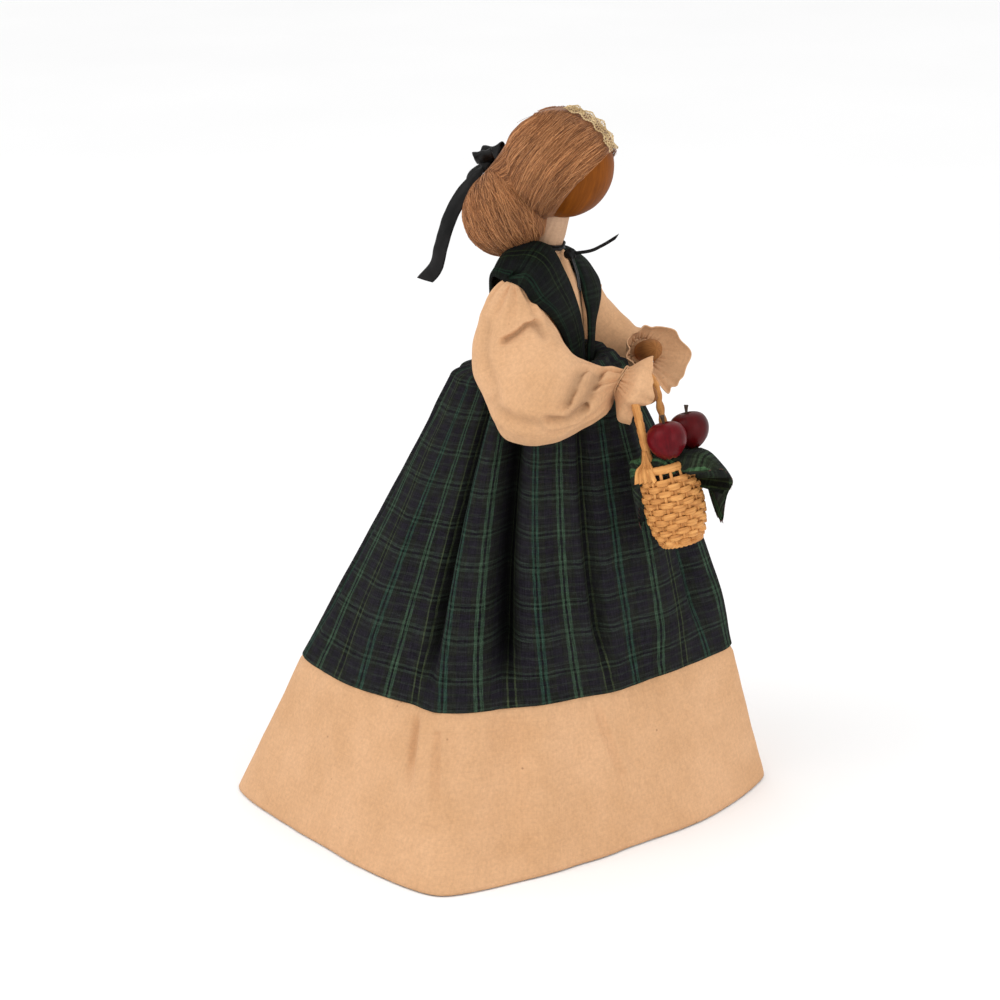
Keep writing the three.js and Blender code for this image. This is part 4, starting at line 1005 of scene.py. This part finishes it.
def knot(name, centre, out, up, radius, fold, stands_for):
    """A small knot with a few folds round it."""
    side = out.cross(up).normalized()
    rows = []
    for angle in (math.pi * i / 24 for i in range(1, 24)):
        reach = radius * math.sin(angle) ** 0.7
        rows.append(ring(
            centre + side * (radius * 1.05 * math.cos(angle)), out, up, 40,
            lambda t: reach + fold * math.sin(4 * t + 5 * angle) * math.sin(angle),
        ))
    lay(name, rows, "doll", SATIN, stands_for, ends=True)


def ribbon(name, stands_for, depth, knot_at, keys, *form):
    """A satin ribbon of that thickness, from a knot along the points of its path."""
    rows = ribbon_rows([knot_at + Vector(key) for key in keys], *form)
    thicken(lay(name, rows, "doll", SATIN, stands_for, False), depth, 0)


def make_neck():
    rows = []
    for share in shares(40):
        along = mix(-2, 20, share)
        radius = NECK_RADIUS - 0.35 * bell(along - 4, 2.2) + 0.9 * ease(0.5, -2, along)
        rows.append(neck_ring(along, lambda t: radius + 0.06 * math.sin(19 * t + 2 * math.sin(along * 0.3))))
    neck = lay("neck_cloth", rows, "doll", NECK_CLOTH, "neck_cover")
    rows = []
    for i in range(13):
        radius = NECK_RADIUS + 0.7 + 0.25 * math.sin(3 * math.pi * i / 12)
        rows.append(neck_ring(2.425 + 2.2 * i / 12, lambda t: radius + 0.15 * math.sin(9 * t + i * 0.4)))
    thicken(lay("neck_ribbon_satin", rows, "doll", SATIN, "neck_ribbon"), 0.4)
    knot("neck_knot_satin", TIE_KNOT, NECK_FRONT, NECK_AIM, 2.1, 0.35, "neck_bow_knot")
    ribbon(
        "neck_tail_front_satin", "neck_bow_tail_front", 0.3,
        TIE_KNOT, TIE_FRONT, (0.3, -0.25, 0.92), 1.25, 40, 5, 0.25, 1.2, 0.2,
    )
    ribbon(
        "neck_tail_down_satin", "neck_bow_tail_down", RIBBON,
        TIE_KNOT, TIE_DOWN, (1, 0, 0), 2.6, 30, 7, 0.2, 1.0, 0.3,
    )


def ball_rows(centre, axis, radius, start, end, steps, count, relief):
    """Rings of a ball round an axis, from one angle off the axis to another."""
    one = axis.cross(ACROSS).normalized()
    other = axis.cross(one)
    rows = []
    for share in shares(steps):
        angle = math.radians(mix(start, end, share))
        row = []
        for turn in turns(count):
            way = axis * math.cos(angle) + (one * math.cos(turn) + other * math.sin(turn)) * math.sin(angle)
            row.append(centre + way * (radius + relief(way, angle)))
        rows.append(row)
    return rows


def make_head():
    rows = ball_rows(
        HEAD, NECK_AIM, HEAD_RADIUS, 179, 1, 60, 96, lambda way, angle: 0.08 * ripple(way * 19, 6),
    )
    lay("head_wood", rows, "doll", FACE, "head_ball", ends=True)


# Hair

def hair_strands(name, paths):
    thread(name, [path for path in paths if len(path) > 4], STRAND_RADIUS, "doll", HAIR_STRAND)


def lock(way, size, high):
    """Shallow relief that groups the hair into locks."""
    return high * ripple(way * 20, size)


def cap_way(share, along, side):
    """Direction from the middle of the hair along a strand of the cap, from the parting to the bun."""
    front, high = polar(mix(16, 122, share))
    start = Vector((side * 0.05, -front, high))
    half = math.radians(FACE_HALF + 3)
    edge = FACE_AIM * math.cos(half) + ACROSS * side * math.sin(half)
    crown = Vector((side * 0.3, 0.45, 0.84)).normalized()
    middle = edge.slerp(crown, share**0.9)
    above, beside = polar(mix(168, 6, share))
    back, rim = polar(38)
    end = BUN_AIM * back + (BUN_UP * above + ACROSS * side * beside) * rim
    return arc(start, middle * 2 - (start + end) * 0.5, end, along).normalized()


def make_cap():
    half = math.radians(FACE_HALF - 1)
    soft = math.radians(FACE_HALF + 9)
    rows = ball_rows(
        HAIR, FACE_AIM, HAIR_RADIUS - 0.5, FACE_HALF - 1, 179, 70, 144,
        lambda way, angle: lock(way, 4, 0.25) - 0.7 * ease(soft, half, angle),
    )
    rows.insert(0, [HEAD + (p - HEAD).normalized() * (HEAD_RADIUS + 0.25) for p in rows[0]])
    flat = measured(rows, True)
    lay("hair_cap_mohair", rows, "doll", SHADED_HAIR_BASE, "hair_cap", flat=lambda r, c: flat(r, c)[::-1])
    paths = []
    for _ in range(CAP_STRANDS):
        side = rng.choice((-1, 1))
        share = rng.random() ** 0.85
        lift = rng.uniform(-0.45, 0.35)
        wander = rng.uniform(-0.02, 0.02)
        wave = rng.uniform(0.4, 1.4)
        phase = rng.uniform(0, 6.3)
        thick = rng.uniform(0.6, 1.2)
        first = rng.uniform(0, 0.12)
        last = 1.0
        frizz = 0.006
        if rng.random() < 0.75:
            first = rng.uniform(0, 0.72)
            last = min(1.0, first + rng.uniform(0.2, 0.45))
            wander *= 3
            frizz = 0.012
        path = []
        for t in shares(12):
            along = mix(first, last, t)
            bend = wander * math.sin(2.5 * along + phase) + frizz * math.sin(18 * wave * along + phase)
            way = cap_way(clamp(share + bend), along, side)
            if way.angle(FACE_AIM) >= half:
                reach = HAIR_RADIUS + mix(-0.6, lift, ease(0.0, 0.16, along)) + lock(way, 5, 0.3)
                tip = 0.35 + 0.65 * ease(0, 0.1, t) * ease(1, 0.92, t)
                path.append((HAIR + way * reach, thick * tip))
        paths.append(path)
    for _ in range(CAP_FLYAWAYS):
        side = rng.choice((-1, 1))
        share = rng.random()
        begin = rng.uniform(0, 0.6)
        lift = rng.uniform(0.4, 1.3)
        path = []
        for t in shares(10):
            way = cap_way(share, mix(begin, begin + 0.35, t), side)
            if way.angle(FACE_AIM) > half:
                path.append((HAIR + way * (HAIR_RADIUS + 0.2 + lift * t**2), 0.5))
        paths.append(path)
    hair_strands("hair_cap_strands", paths)


def bun_point(turn, angle, lift=0.0):
    """The bun is wide across the head, drawn in below the bow and fuller at the foot."""
    one = BOW_AIM.cross(ACROSS).normalized()
    way = BOW_AIM * math.cos(angle) + (one * math.cos(turn) + ACROSS * math.sin(turn)) * math.sin(angle)
    wide, deep = abs(way.x) / BUN_HALF[0], math.hypot(way.y, way.z) / BUN_HALF[1]
    reach = (wide**BUN_POWER + deep**BUN_POWER) ** (-1 / BUN_POWER)
    shape = 1.2 * bell(way.angle(BUN_SAG), 0.5) - 4.2 * bell(way.angle(BUN_HOLLOW), 0.5)
    return BUN_MIDDLE + way * (reach + shape + lift + 0.35 * ripple(way * 17, 5))


def make_bun():
    rows = [[bun_point(t, math.radians(mix(178, 2, s)), -0.3) for t in turns(120)] for s in shares(60)]
    lay("hair_bun_mohair", rows, "doll", SHADED_HAIR_BASE, "hair_bun", ends=True)
    paths = []
    for _ in range(BUN_STRANDS):
        turn = rng.uniform(0, 2 * math.pi)
        lift = rng.uniform(-0.3, 0.4)
        drift = rng.uniform(-0.35, 0.35)
        phase = rng.uniform(0, 6.3)
        thick = rng.uniform(0.6, 1.2)
        first = rng.uniform(0.04, 0.3)
        last = rng.uniform(0.75, 0.98)
        if rng.random() < 0.65:
            first = rng.uniform(0.05, 0.65)
            last = first + rng.uniform(0.15, 0.32)
            drift *= 2.5
        path = []
        for t in shares(11):
            share = mix(first, last, t)
            sway = drift * share + 0.05 * math.sin(13 * share + phase)
            point = bun_point(turn + sway, math.pi * share, lift)
            if (point - HAIR).length < HAIR_RADIUS - 0.6:
                break
            path.append((point, thick))
        if path:
            path[-1] = (path[-1][0], 0.35)
        paths.append(path)
    for _ in range(BUN_FLYAWAYS):
        turn = rng.uniform(0, 2 * math.pi)
        begin = rng.uniform(0.2, 0.7)
        lift = rng.uniform(0.5, 1.6)
        points = [bun_point(turn, math.pi * (begin + 0.2 * t), 0.2 + lift * t**2) for t in shares(8)]
        paths.append([(p, 0.5) for p in points if (p - HAIR).length > HAIR_RADIUS + 0.5 and p.z > 224])
    hair_strands("hair_bun_strands", paths)


def bridge_out(turn):
    return BUN_UP * math.cos(turn) + ACROSS * math.sin(turn)


def bridge_point(turn, along):
    """Hair drawn from the crown across to the bow."""
    out = bridge_out(turn)
    back, beside = polar(68)
    high = HAIR + (BUN_AIM * back + out * beside) * (HAIR_RADIUS - 0.4)
    low = BUN_MIDDLE + (BUN_AIM * -0.05 + out).normalized() * (BUN_RADIUS - 1)
    middle = (high + low) / 2 - out * mix(6.5, 1.2, ease(1.75, 0.3, abs(turn)))
    return arc(high, middle, low, along)


def make_bridge():
    rows = [[bridge_point(mix(-1.9, 1.9, t), 1 - s) for t in shares(60)] for s in shares(16)]
    lay("hair_bridge_mohair", rows, "doll", SHADED_HAIR_BASE, wrapped=False)
    paths = []
    for _ in range(BRIDGE_STRANDS):
        turn = rng.uniform(-1.45, 1.45)
        end = turn * rng.uniform(0.3, 0.8)
        lift = rng.uniform(0, 0.5)
        thick = rng.uniform(0.6, 1.2)
        path = []
        for i in range(12):
            now = mix(turn, end, (i / 11) ** 1.5)
            tip = 0.4 + 0.6 * ease(0, 2, i) * ease(11, 9, i)
            path.append((bridge_point(now, i / 11) + bridge_out(now) * lift, thick * tip))
        paths.append(path)
    hair_strands("hair_bridge_strands", paths)


def lace_point(share, x, lift=0.0):
    y, z = polar(mix(17, 84, share))
    frill = 0.5 * math.sin(9 * math.pi * share + 0.6 + x * 0.2) * (abs(x) / 4.5) ** 2
    way = Vector((math.sin(x / HAIR_RADIUS), -y, z)).normalized()
    return HAIR + way * (HAIR_RADIUS + 0.55 + lift + frill + 0.35 * ripple((x, share * 30, 3), 3))


def lace_line(x_of, thick=1.0, lift_of=lambda s: 0.0, steps=240, first=0.0, last=1.0):
    along = [mix(first, last, t) for t in shares(steps)]
    return [(lace_point(s, x_of(s), lift_of(s)), thick) for s in along]


def make_lace_band():
    """A strip of fine net along the parting, with a cord and small loops down each edge."""
    paths = []
    for side in (-1, 1):
        paths.append(lace_line(lambda s: side * (LACE_HALF + 0.2 * math.sin(50 * s)), 1.2))
        paths.append(lace_line(
            lambda s: side * (LACE_HALF + 0.75 * abs(math.sin(24 * math.pi * s))), 1.0, lambda s: 0.15,
        ))
        paths.append(lace_line(lambda s: side * (1.9 + 0.25 * math.sin(37 * s + side)), 0.8))
        for first in (k / LACE_NETS for k in range(LACE_NETS)):
            slant = rng.uniform(1.8, 3) / LACE_NETS
            paths.append(lace_line(
                lambda s: side * mix(-LACE_HALF, LACE_HALF, (s - first) / slant), 0.75,
                lambda s: 0.1 * math.sin(400 * s), 12, first, min(1, first + slant),
            ))
    for _ in range(LACE_DOTS):
        middle = rng.random()
        x = rng.uniform(-3.4, 3.4)
        size = rng.uniform(0.5, 0.9)
        paths.append([
            (lace_point(clamp(middle + size * math.sin(t) / 26), x + size * math.cos(t), 0.2), 1.1)
            for t in turns(12) + [2 * math.pi]
        ])
    thread("hair_lace_thread", paths, 0.13, "doll", LACE, "hair_lace", 1)


def make_bow():
    knot("bow_knot_satin", BOW, BOW_AIM, Vector((0, -BOW_AIM.z, BOW_AIM.y)), 2.8, 0.45, "hair_bow_knot")
    for name, side in (("near", -1), ("far", 1)):
        keys = [(side * x, y, z) for x, y, z in BOW_LOOP]
        ribbon(
            f"bow_loop_{name}_satin", f"hair_bow_loop_{name}", RIBBON,
            BOW, keys, (0.1 * side, -0.96, 0.25), 7.6, 60, 13, 0.5, 0, 0.5,
        )
    for name, keys in BOW_TAILS.items():
        ribbon(
            f"bow_tail_{name}_satin", f"hair_ribbon_tail_{name}", RIBBON,
            BOW, keys, BOW_TAIL_ACROSS[name], 6.2, 70, 9, 0.35, 2.2, 0.5, 0.4,
        )


# Arms

SLEEVE_SURFACES = {}


def hand_frame(name):
    along = Vector(HAND_AIM[name]).normalized()
    across = along.cross(UP).normalized()
    return along, across, across.cross(along)


def sleeve_centre(angle, reach, out, side):
    x, y = polar(angle)
    return BEND + Vector((side * out, reach * x, -reach * y))


def wrist(name, side):
    angle, reach, _, out, _ = SLEEVES[name][-1]
    return sleeve_centre(angle, reach, out, side)


def sleeve_creases(point, turn):
    """How far the creases draw the cloth in at a point, and how much painted shade it gets in them."""
    outer = ease(0.1, 0.6, math.sin(turn))
    drawn = 0.0
    dip = 0.0
    if outer > 0:
        for line, width, depth in SLEEVE_CREASES:
            off = line_distance(Vector((point.y, point.z)), line)
            drawn += outer * depth * (bell(off, width) - 0.45 * bell(off - width * 1.9, width * 0.9))
            # Painted shade, strongest along the middle of each crease.
            dip += outer * depth / 2.6 * bell(off, width * 0.8)
    return drawn, dip


def make_sleeve(name, side):
    _, across, rise = hand_frame(name)
    rows = []
    painted_crease_shades = []
    for share in shares(SLEEVE_STEPS):
        angle, reach, half_depth, out, half_width = spline(SLEEVES[name], share)
        centre = sleeve_centre(angle, reach, out, side)
        c, s = polar(angle)
        turn_in = ease(0.88, 1, share)
        radial = Vector((0, c, -s)).lerp(-rise, turn_in).normalized()
        outward = Vector((side, 0, 0)).lerp(across * -side, turn_in).normalized()
        wrist_pleats = ease(0.66, 0.96, share) * (1 - 0.7 * ease(0.93, 1, share))
        top_pleats = ease(0.34, 0.08, share) * ease(0, 0.06, share)
        row = []
        for turn in turns(SLEEVE_COLUMNS):
            way = radial * math.cos(turn) + outward * math.sin(turn)
            point = centre + radial * half_depth * math.cos(turn) + outward * half_width * math.sin(turn)
            relief = wrist_pleats * (0.9 * math.sin(11 * turn + 0.6) + 0.6 * math.sin(17 * turn + 2))
            relief += top_pleats * (0.8 * math.sin(9 * turn + 1) + 0.5 * math.sin(14 * turn))
            relief += 0.9 * ripple(point + ACROSS * side * 40, 13) + 0.4 * ripple(point, 6)
            drawn, dip = sleeve_creases(point, turn)
            row.append((point + way * (relief - drawn), dip))
        if side < 0:
            row.reverse()
        rows.append([point for point, _ in row])
        painted_crease_shades += [dip for _, dip in row]
    points, faces, _ = net(rows)
    SLEEVE_SURFACES[name] = BVHTree.FromPolygons(points, faces)
    sleeve = lay(f"{name}_sleeve_cloth", rows, f"{name}_arm", MUSLIN, f"{name}_sleeve", ends=True)
    mark_painted_shade(sleeve, painted_crease_shades)


def rim_at(name, degrees):
    keys = CUFF_RIMS[name]
    for (a, *low), (b, *high) in zip(keys, keys[1:] + [(360, *keys[0][1:])]):
        if degrees <= b:
            return [mix(p, q, ease(a, b, degrees)) for p, q in zip(low, high)]


def make_cuff(name, side):
    along, across, rise = hand_frame(name)
    foot = wrist(name, side) + along * 0.6
    rows = []
    for share in shares(CUFF_STEPS):
        row = []
        for turn in turns(CUFF_COLUMNS):
            length, rim, middle = rim_at(name, math.degrees(turn))
            frill = 0.5 * math.cos(7 * turn) + 0.35 * math.sin(11 * turn + 1.7)
            pleats = 1.3 * math.sin(24 * turn) * bell(wrap(math.degrees(turn) - 192), 22)
            gather = (0.35 * math.sin(31 * turn) + 0.3 * math.sin(19 * turn + 1)) * ease(0.55, 0, share)
            radius = spline([(CUFF_THROAT - 0.4,), (middle,), (rim,)], share)[0]
            radius += share * (frill + pleats * ease(0.1, 0.5, share)) + gather
            point = foot + along * (length * share + 0.6 * share * math.sin(5 * turn + 1))
            row.append(point + across * radius * math.sin(turn) + rise * radius * math.cos(turn))
        rows.append(row)
    cuff = lay(f"{name}_cuff_cloth", rows, f"{name}_arm", MUSLIN, f"{name}_cuff")
    thicken(cuff, 0.45, 0)


def make_hand(name, side):
    along, across, rise = hand_frame(name)
    foot = wrist(name, side)
    rows = []
    for share in shares(40):
        reach, radius = spline(HAND_ROWS, share)
        centre = foot + along * (0.3 + reach)
        rows.append(ring(centre, across, rise, 48, lambda t: radius * (1 + 0.012 * math.sin(3 * t)))[::-1])
    lay(f"{name}_hand_wood", rows, f"{name}_arm", HAND_WOOD, f"{name}_hand", ends=True)
    paths = []
    for k in range(2):
        path = []
        for turn in turns(72) + [2 * math.pi]:
            radius = CUFF_THROAT - 0.2 + 0.12 * math.sin(7 * turn + k)
            point = foot + along * (-0.6 + 0.75 * k + 0.15 * math.sin(3 * turn))
            path.append((point + across * radius * math.sin(turn) + rise * radius * math.cos(turn), 1))
        paths.append(path)
    thread(f"{name}_wrist_thread", paths, 0.3, f"{name}_arm", THREAD, f"{name}_wrist_tie", 1)


# Basket

def in_basket(rows):
    return [[BASKET_FRAME @ p for p in row] for row in rows]


def basket_at(turn, height, grow=0.0):
    half_x, half_y = by_height(BASKET_ROWS, height)
    return Vector(((half_x + grow) * math.cos(turn), (half_y + grow) * math.sin(turn), height))


def loop_rows(path, section, count):
    """Rings along a closed path in the basket's frame, upright where the path is level."""
    rows = []
    total = len(path)
    for i in range(total + 1):
        along = (path[(i + 1) % total] - path[(i - 1) % total]).normalized()
        out = along.cross(UP).normalized()
        rise = out.cross(along)
        reaches = [section(i / total, spin) for spin in turns(count)]
        rows.append([path[i % total] + out * a + rise * b for a, b in reaches])
    return in_basket(rows)


def make_weave():
    parts = []
    pitch = (BASKET_HEIGHT - 3.6) / WEAVERS
    for k in range(WEAVERS):
        height = 1.2 + pitch * (k + 0.5)
        path = []
        for turn in turns(STAKES * 14):
            swing = math.cos(STAKES / 2 * turn + math.pi * k)
            swing = 0.7 * math.copysign(abs(swing) ** 0.45, swing)
            lie = height + 0.22 * ripple((math.cos(turn) * 9, math.sin(turn) * 9, k * 7), 4)
            path.append(basket_at(turn, lie, swing - 0.65))
        wide = pitch * 0.56 * rng.uniform(0.96, 1.06)

        def strip(share, spin):
            held = wide * (0.95 + 0.05 * math.cos(math.pi * (STAKES * share + k)))
            return 0.4 * math.cos(spin), held * math.copysign(abs(math.sin(spin)) ** 0.7, math.sin(spin))

        parts.append((loop_rows(path, strip, 14), False))
    for turn in turns(STAKES):
        out = Vector((math.cos(turn), math.sin(turn), 0))
        tangent = Vector((-math.sin(turn), math.cos(turn), 0))
        path = [basket_at(turn, mix(0.4, 29.6, share), -0.75) for share in shares(24)]
        rows = [ring(point, tangent, out, 10, lambda t: 0.6, lambda t: 0.33) for point in path]
        parts.append((in_basket(rows), True))
    floor = []
    for share in shares(8):
        middle = UP * (0.9 + 0.25 * math.cos(20 * share) * share)
        floor.append(ring(middle, ACROSS, BACK, 64, lambda t: 8.4 * share, lambda t: 6.6 * share))
    parts.append((in_basket(floor), False))

    def twist(share, spin):
        rope = 1 + 0.18 * math.sin(2 * spin - 2 * math.pi * 26 * share)
        return 0.8 * rope * math.cos(spin), 0.85 * rope * math.sin(spin)

    foot = [basket_at(turn, 0.9, -0.5) for turn in turns(200)]
    parts.append((loop_rows(foot, twist, 16), False))
    join("basket_weave", parts, "basket", STRAW, "basket_body")


def make_rim():
    def wound(share, spin):
        step = (RIM_WRAPS * share - spin / (2 * math.pi)) % 1
        strip = 1 + 0.16 * (step**0.5) - 0.1 * bell(step - 1, 0.12)
        return 1.15 * strip * math.cos(spin), 1.45 * strip * math.sin(spin)

    path = [basket_at(turn, BASKET_HEIGHT, -1.2) + UP * 1.2 for turn in turns(320)]
    parts = [(loop_rows(path, wound, 24), False)]
    for side in (-1, 1):
        for k in range(FAN_STRIPS):
            lean = (k - 2) * 1.6
            keys = [
                (side * x, HANDLE_BACK + lean * spread, z) for x, spread, z in (
                    (HANDLE_LEG + 0.9, 0, 37 + abs(lean) * 0.3), (HANDLE_LEG + 1.6, 0.3, 33.4),
                    (11.6, 0.8, 31.6), (12.5, 1, 29.6), (12.6, 1.25, 26.6),
                )
            ]
            rows = ribbon_rows(keys, (0, 1, 0.1), 1.8, 24, 5, 0.1, 0.4, -0.3)
            inside = Vector((side * 0.45, 0, 0.1))
            parts.append((in_basket([row + [p - inside for p in row[::-1]] for row in rows]), True))
    join("basket_rim_wrap", parts, "basket", STRAW, "basket_rim")


def handle_path():
    """The handle as even steps along two legs and a round arch."""
    arch = HANDLE_HEIGHT - HANDLE_LEG
    leg = []
    for t in shares(100):
        leg.append(Vector((-HANDLE_LEG * mix(0.85, 1, t), HANDLE_BACK, mix(HANDLE_FOOT, arch, t))))
    points = list(leg)
    for degrees in range(179, -1, -1):
        c, s = polar(degrees)
        points.append(Vector((HANDLE_LEG * c, HANDLE_BACK, arch + HANDLE_LEG * s)))
    points += [Vector((-p.x, p.y, p.z)) for p in leg[-2::-1]]
    far = lengths(points)
    even = []
    k = 0
    for share in shares(HANDLE_STEPS):
        want = far[-1] * share
        while k < len(points) - 2 and far[k + 1] < want:
            k += 1
        even.append(points[k].lerp(points[k + 1], (want - far[k]) / (far[k + 1] - far[k])))
    return even


def make_handle():
    path = handle_path()
    rows = []
    for i, point in enumerate(path):
        share = i / HANDLE_STEPS
        bare = ease(0.56, 0.66, share)

        def radius(spin):
            step = (HANDLE_WRAPS * share + spin / (2 * math.pi)) % 1
            strip = 0.9 + 0.2 * step**0.6 - 0.2 * bell(step - 1, 0.12)
            cord = 0.95 + 0.16 * math.cos(2 * spin - 2 * math.pi * 22 * share)
            return 1.6 * mix(strip, cord, bare) * (1 - 0.1 * bare)

        rows.append(ring(point, BACK, heading(path, i).normalized().cross(BACK), 28, radius))
    lay(
        "basket_handle_wrap", in_basket(rows), "basket", STRAW, "basket_handle", ends=True,
        flat=lambda r, c: (c * 0.36, r * 0.3),
    )


def napkin_sum(bearing, key):
    total = 0.0
    for corner in NAPKIN_CORNERS:
        total += corner[key] * math.exp(-(abs(wrap(bearing - corner[0]) / corner[3]) ** 2.6))
    return total


def napkin_point(bearing, share):
    """Across the cloth from the middle, over the rim and down, or tucked in where the rim shows."""
    turn = math.radians(bearing)
    cover = 1 - ease(114, 130, bearing % 360) * ease(264, 246, bearing % 360)
    hang = 2.2 + napkin_sum(bearing, 1)
    flare = napkin_sum(bearing, 2)
    over = [
        (0.02, 0, 3.4), (0.4, 0, 4), (0.75, 0, 3.8), (0.98, 0.6, 2.4), (1, 2.2 + flare * 0.45, 1.2),
        (1, 2.6 + flare * 0.8, -hang * 0.5), (1, 2.3 + flare, -hang),
    ]
    tucked = [
        (0.02, 0, 3.4), (0.3, 0, 3.8), (0.5, 0, 3), (0.64, 0, 1.6),
        (0.74, 0, -0.2), (0.78, 0, -2.2), (0.78, 0, -4),
    ]
    scale, grow, height = (mix(a, b, cover) for a, b in zip(spline(tucked, share), spline(over, share)))
    fold = cover * ease(0.5, 0.95, share) * (0.7 * math.sin(9 * turn + 0.4) + 0.4 * math.sin(14 * turn + 2))
    x, y = math.cos(turn), math.sin(turn)
    lift = 0.6 * ripple((x * 14 * share, y * 14 * share, 4), 4) * ease(0, 0.4, share) * ease(0.8, 0.5, share)
    reach = grow + fold
    return Vector(((12.2 * scale + reach) * x, (9.4 * scale + reach) * y, NAPKIN_TOP + height + lift))


def clear_of_apples(point):
    for x, y in APPLES.values():
        centre = Vector((x, y, APPLE_CENTRE))
        away = point - centre
        if away.length < APPLE_RADIUS + 0.9:
            point = centre + away.normalized() * (APPLE_RADIUS + 0.9)
    return point


def make_napkin():
    bearings = [360 * j / NAPKIN_COLUMNS for j in range(NAPKIN_COLUMNS)]
    rows = [[clear_of_apples(napkin_point(b, share)) for b in bearings] for share in shares(48)]
    reaches = [lengths([row[c] for row in rows]) for c in range(NAPKIN_COLUMNS)]

    def flat(r, c):
        x, y = polar(360 * c / NAPKIN_COLUMNS)
        reach = reaches[c % NAPKIN_COLUMNS][r]
        return reach * x + 49, reach * y + 49

    placed = in_basket(rows)
    napkin = lay("napkin_cloth", placed, "basket", NAPKIN_TARTAN, "napkin", ends=True, flat=flat)
    thicken(napkin, SHEET, 0)
    paths = []
    for _ in range(NAPKIN_THREADS):
        bearing = rng.uniform(0, 360)
        edge = napkin_point(bearing, 1)
        inside = napkin_point(bearing + rng.uniform(-3, 3), 0.93)
        step = (edge - inside).normalized() * rng.uniform(0.5, 1.5)
        paths.append([(BASKET_FRAME @ (edge + step * far), width) for far, width in FRAY_POINTS])
    thread("napkin_fray", paths, 0.13, "basket", FRAY)


def make_apple_piece(name, x, y):
    inner = APPLE_RADIUS * 0.35
    dimple = APPLE_HALF - APPLE_DIMPLE
    keys = [
        (0.05, -dimple), (inner * 0.8, -APPLE_HALF), (APPLE_RADIUS * 0.8, -APPLE_HALF * 0.55),
        (APPLE_RADIUS, APPLE_HALF * 0.15),
        (APPLE_RADIUS * 0.82, APPLE_HALF * 0.75), (inner, APPLE_HALF), (0.05, dimple),
    ]
    rows = []
    for share in shares(56):
        radius, height = spline(keys, share)
        row = ring(
            Vector((x, y, APPLE_CENTRE + height)), ACROSS, BACK, 72,
            lambda t: radius * (1 + 0.015 * math.sin(5 * t) * (1 - height / 12)),
            lambda t: radius * (1 + 0.02 * math.sin(2 * t + 1)),
        )
        lobes = 0.2 * ease(-2, -6, height)
        rows.append([p + UP * lobes * math.sin(5 * t) for p, t in zip(row, turns(72))])
    lay(f"{name}_skin", in_basket(rows), "basket", APPLE_SKINS[name], name, ends=True)
    foot = Vector((x, y, APPLE_CENTRE + dimple + 0.2))
    path = []
    for t in shares(12):
        step = Vector((STEM_LEAN[name] * t**2, -0.3 * t, STEM_LENGTH * t))
        path.append((BASKET_FRAME @ (foot + step), mix(0.55, 1.15, t**2)))
    thread(f"{name}_stalk", [path], 0.8, "basket", STEM, f"{name}_stem", 3)


make_body()
make_skirt()
make_border()
make_head()
make_neck()
make_cap()
make_bun()
make_bridge()
make_lace_band()
make_bow()
for arm, arm_side in (("right", -1), ("left", 1)):
    make_hand(arm, arm_side)
    make_sleeve(arm, arm_side)
    make_cuff(arm, arm_side)
    make_vest(arm, arm_side)
make_weave()
make_rim()
make_handle()
make_napkin()
for apple, (apple_x, apple_y) in APPLES.items():
    make_apple_piece(apple, apple_x, apple_y)


# Stage, light and camera, in metres

FLOOR_HALF = 6
FLOOR_DROP = 0.0005
LIGHT_AIM = Vector((0, 0, 0.12))
CAMERA_AIM = Vector((0.002, 0.002, 0.12))
CAMERA_AZIMUTH = math.radians(-70)
CAMERA_ELEVATION = math.radians(18)
CAMERA_DISTANCE = 1.0


def make_stage():
    floor = bpy.data.meshes.new("floor")
    corners = ((-1, -1), (1, -1), (1, 1), (-1, 1))
    floor.from_pydata([(x * FLOOR_HALF, y * FLOOR_HALF, 0) for x, y in corners], [], [(0, 1, 2, 3)])
    pale = Finish("floor_paint", Roughness=0.9)
    pale.colour(pale.ramp(pale.grain(3, 2), (0.3, 0.95), (0.7, 0.97)))
    floor.materials.append(pale.made)
    ground = bpy.data.objects.new("floor", floor)
    ground.location.z = -FLOOR_DROP
    bpy.context.collection.objects.link(ground)
    world = bpy.data.worlds.new("studio")
    world.use_nodes = True
    world.node_tree.nodes["Background"].inputs["Color"].default_value = (1, 1, 1, 1)
    world.node_tree.nodes["Background"].inputs["Strength"].default_value = 1.0
    bpy.context.scene.world = world


def put(name, data, spot, way):
    """A light or a camera at a spot, looking one way."""
    made = bpy.data.objects.new(name, data)
    made.location = spot
    made.rotation_mode = "QUATERNION"
    made.rotation_quaternion = way.to_track_quat("-Z", "Y")
    bpy.context.collection.objects.link(made)
    return made


def make_light(name, spot, size, power):
    data = bpy.data.lights.new(name, "AREA")
    data.size = size
    data.energy = power
    put(name, data, spot, LIGHT_AIM - Vector(spot))


def make_camera():
    level = math.cos(CAMERA_ELEVATION)
    back = Vector((
        math.sin(CAMERA_AZIMUTH) * level, -math.cos(CAMERA_AZIMUTH) * level, math.sin(CAMERA_ELEVATION),
    ))
    data = bpy.data.cameras.new("camera")
    data.lens = 91.44
    data.sensor_width = 36
    bpy.context.scene.camera = put("camera", data, CAMERA_AIM + back * CAMERA_DISTANCE, -back)


make_stage()
make_light("key", (-0.75, 0.7, 0.95), 0.8, 5)
make_light("fill", (-0.6, -1.2, 0.6), 1.0, 4)
make_camera()
bpy.context.scene.view_settings.view_transform = "Standard"
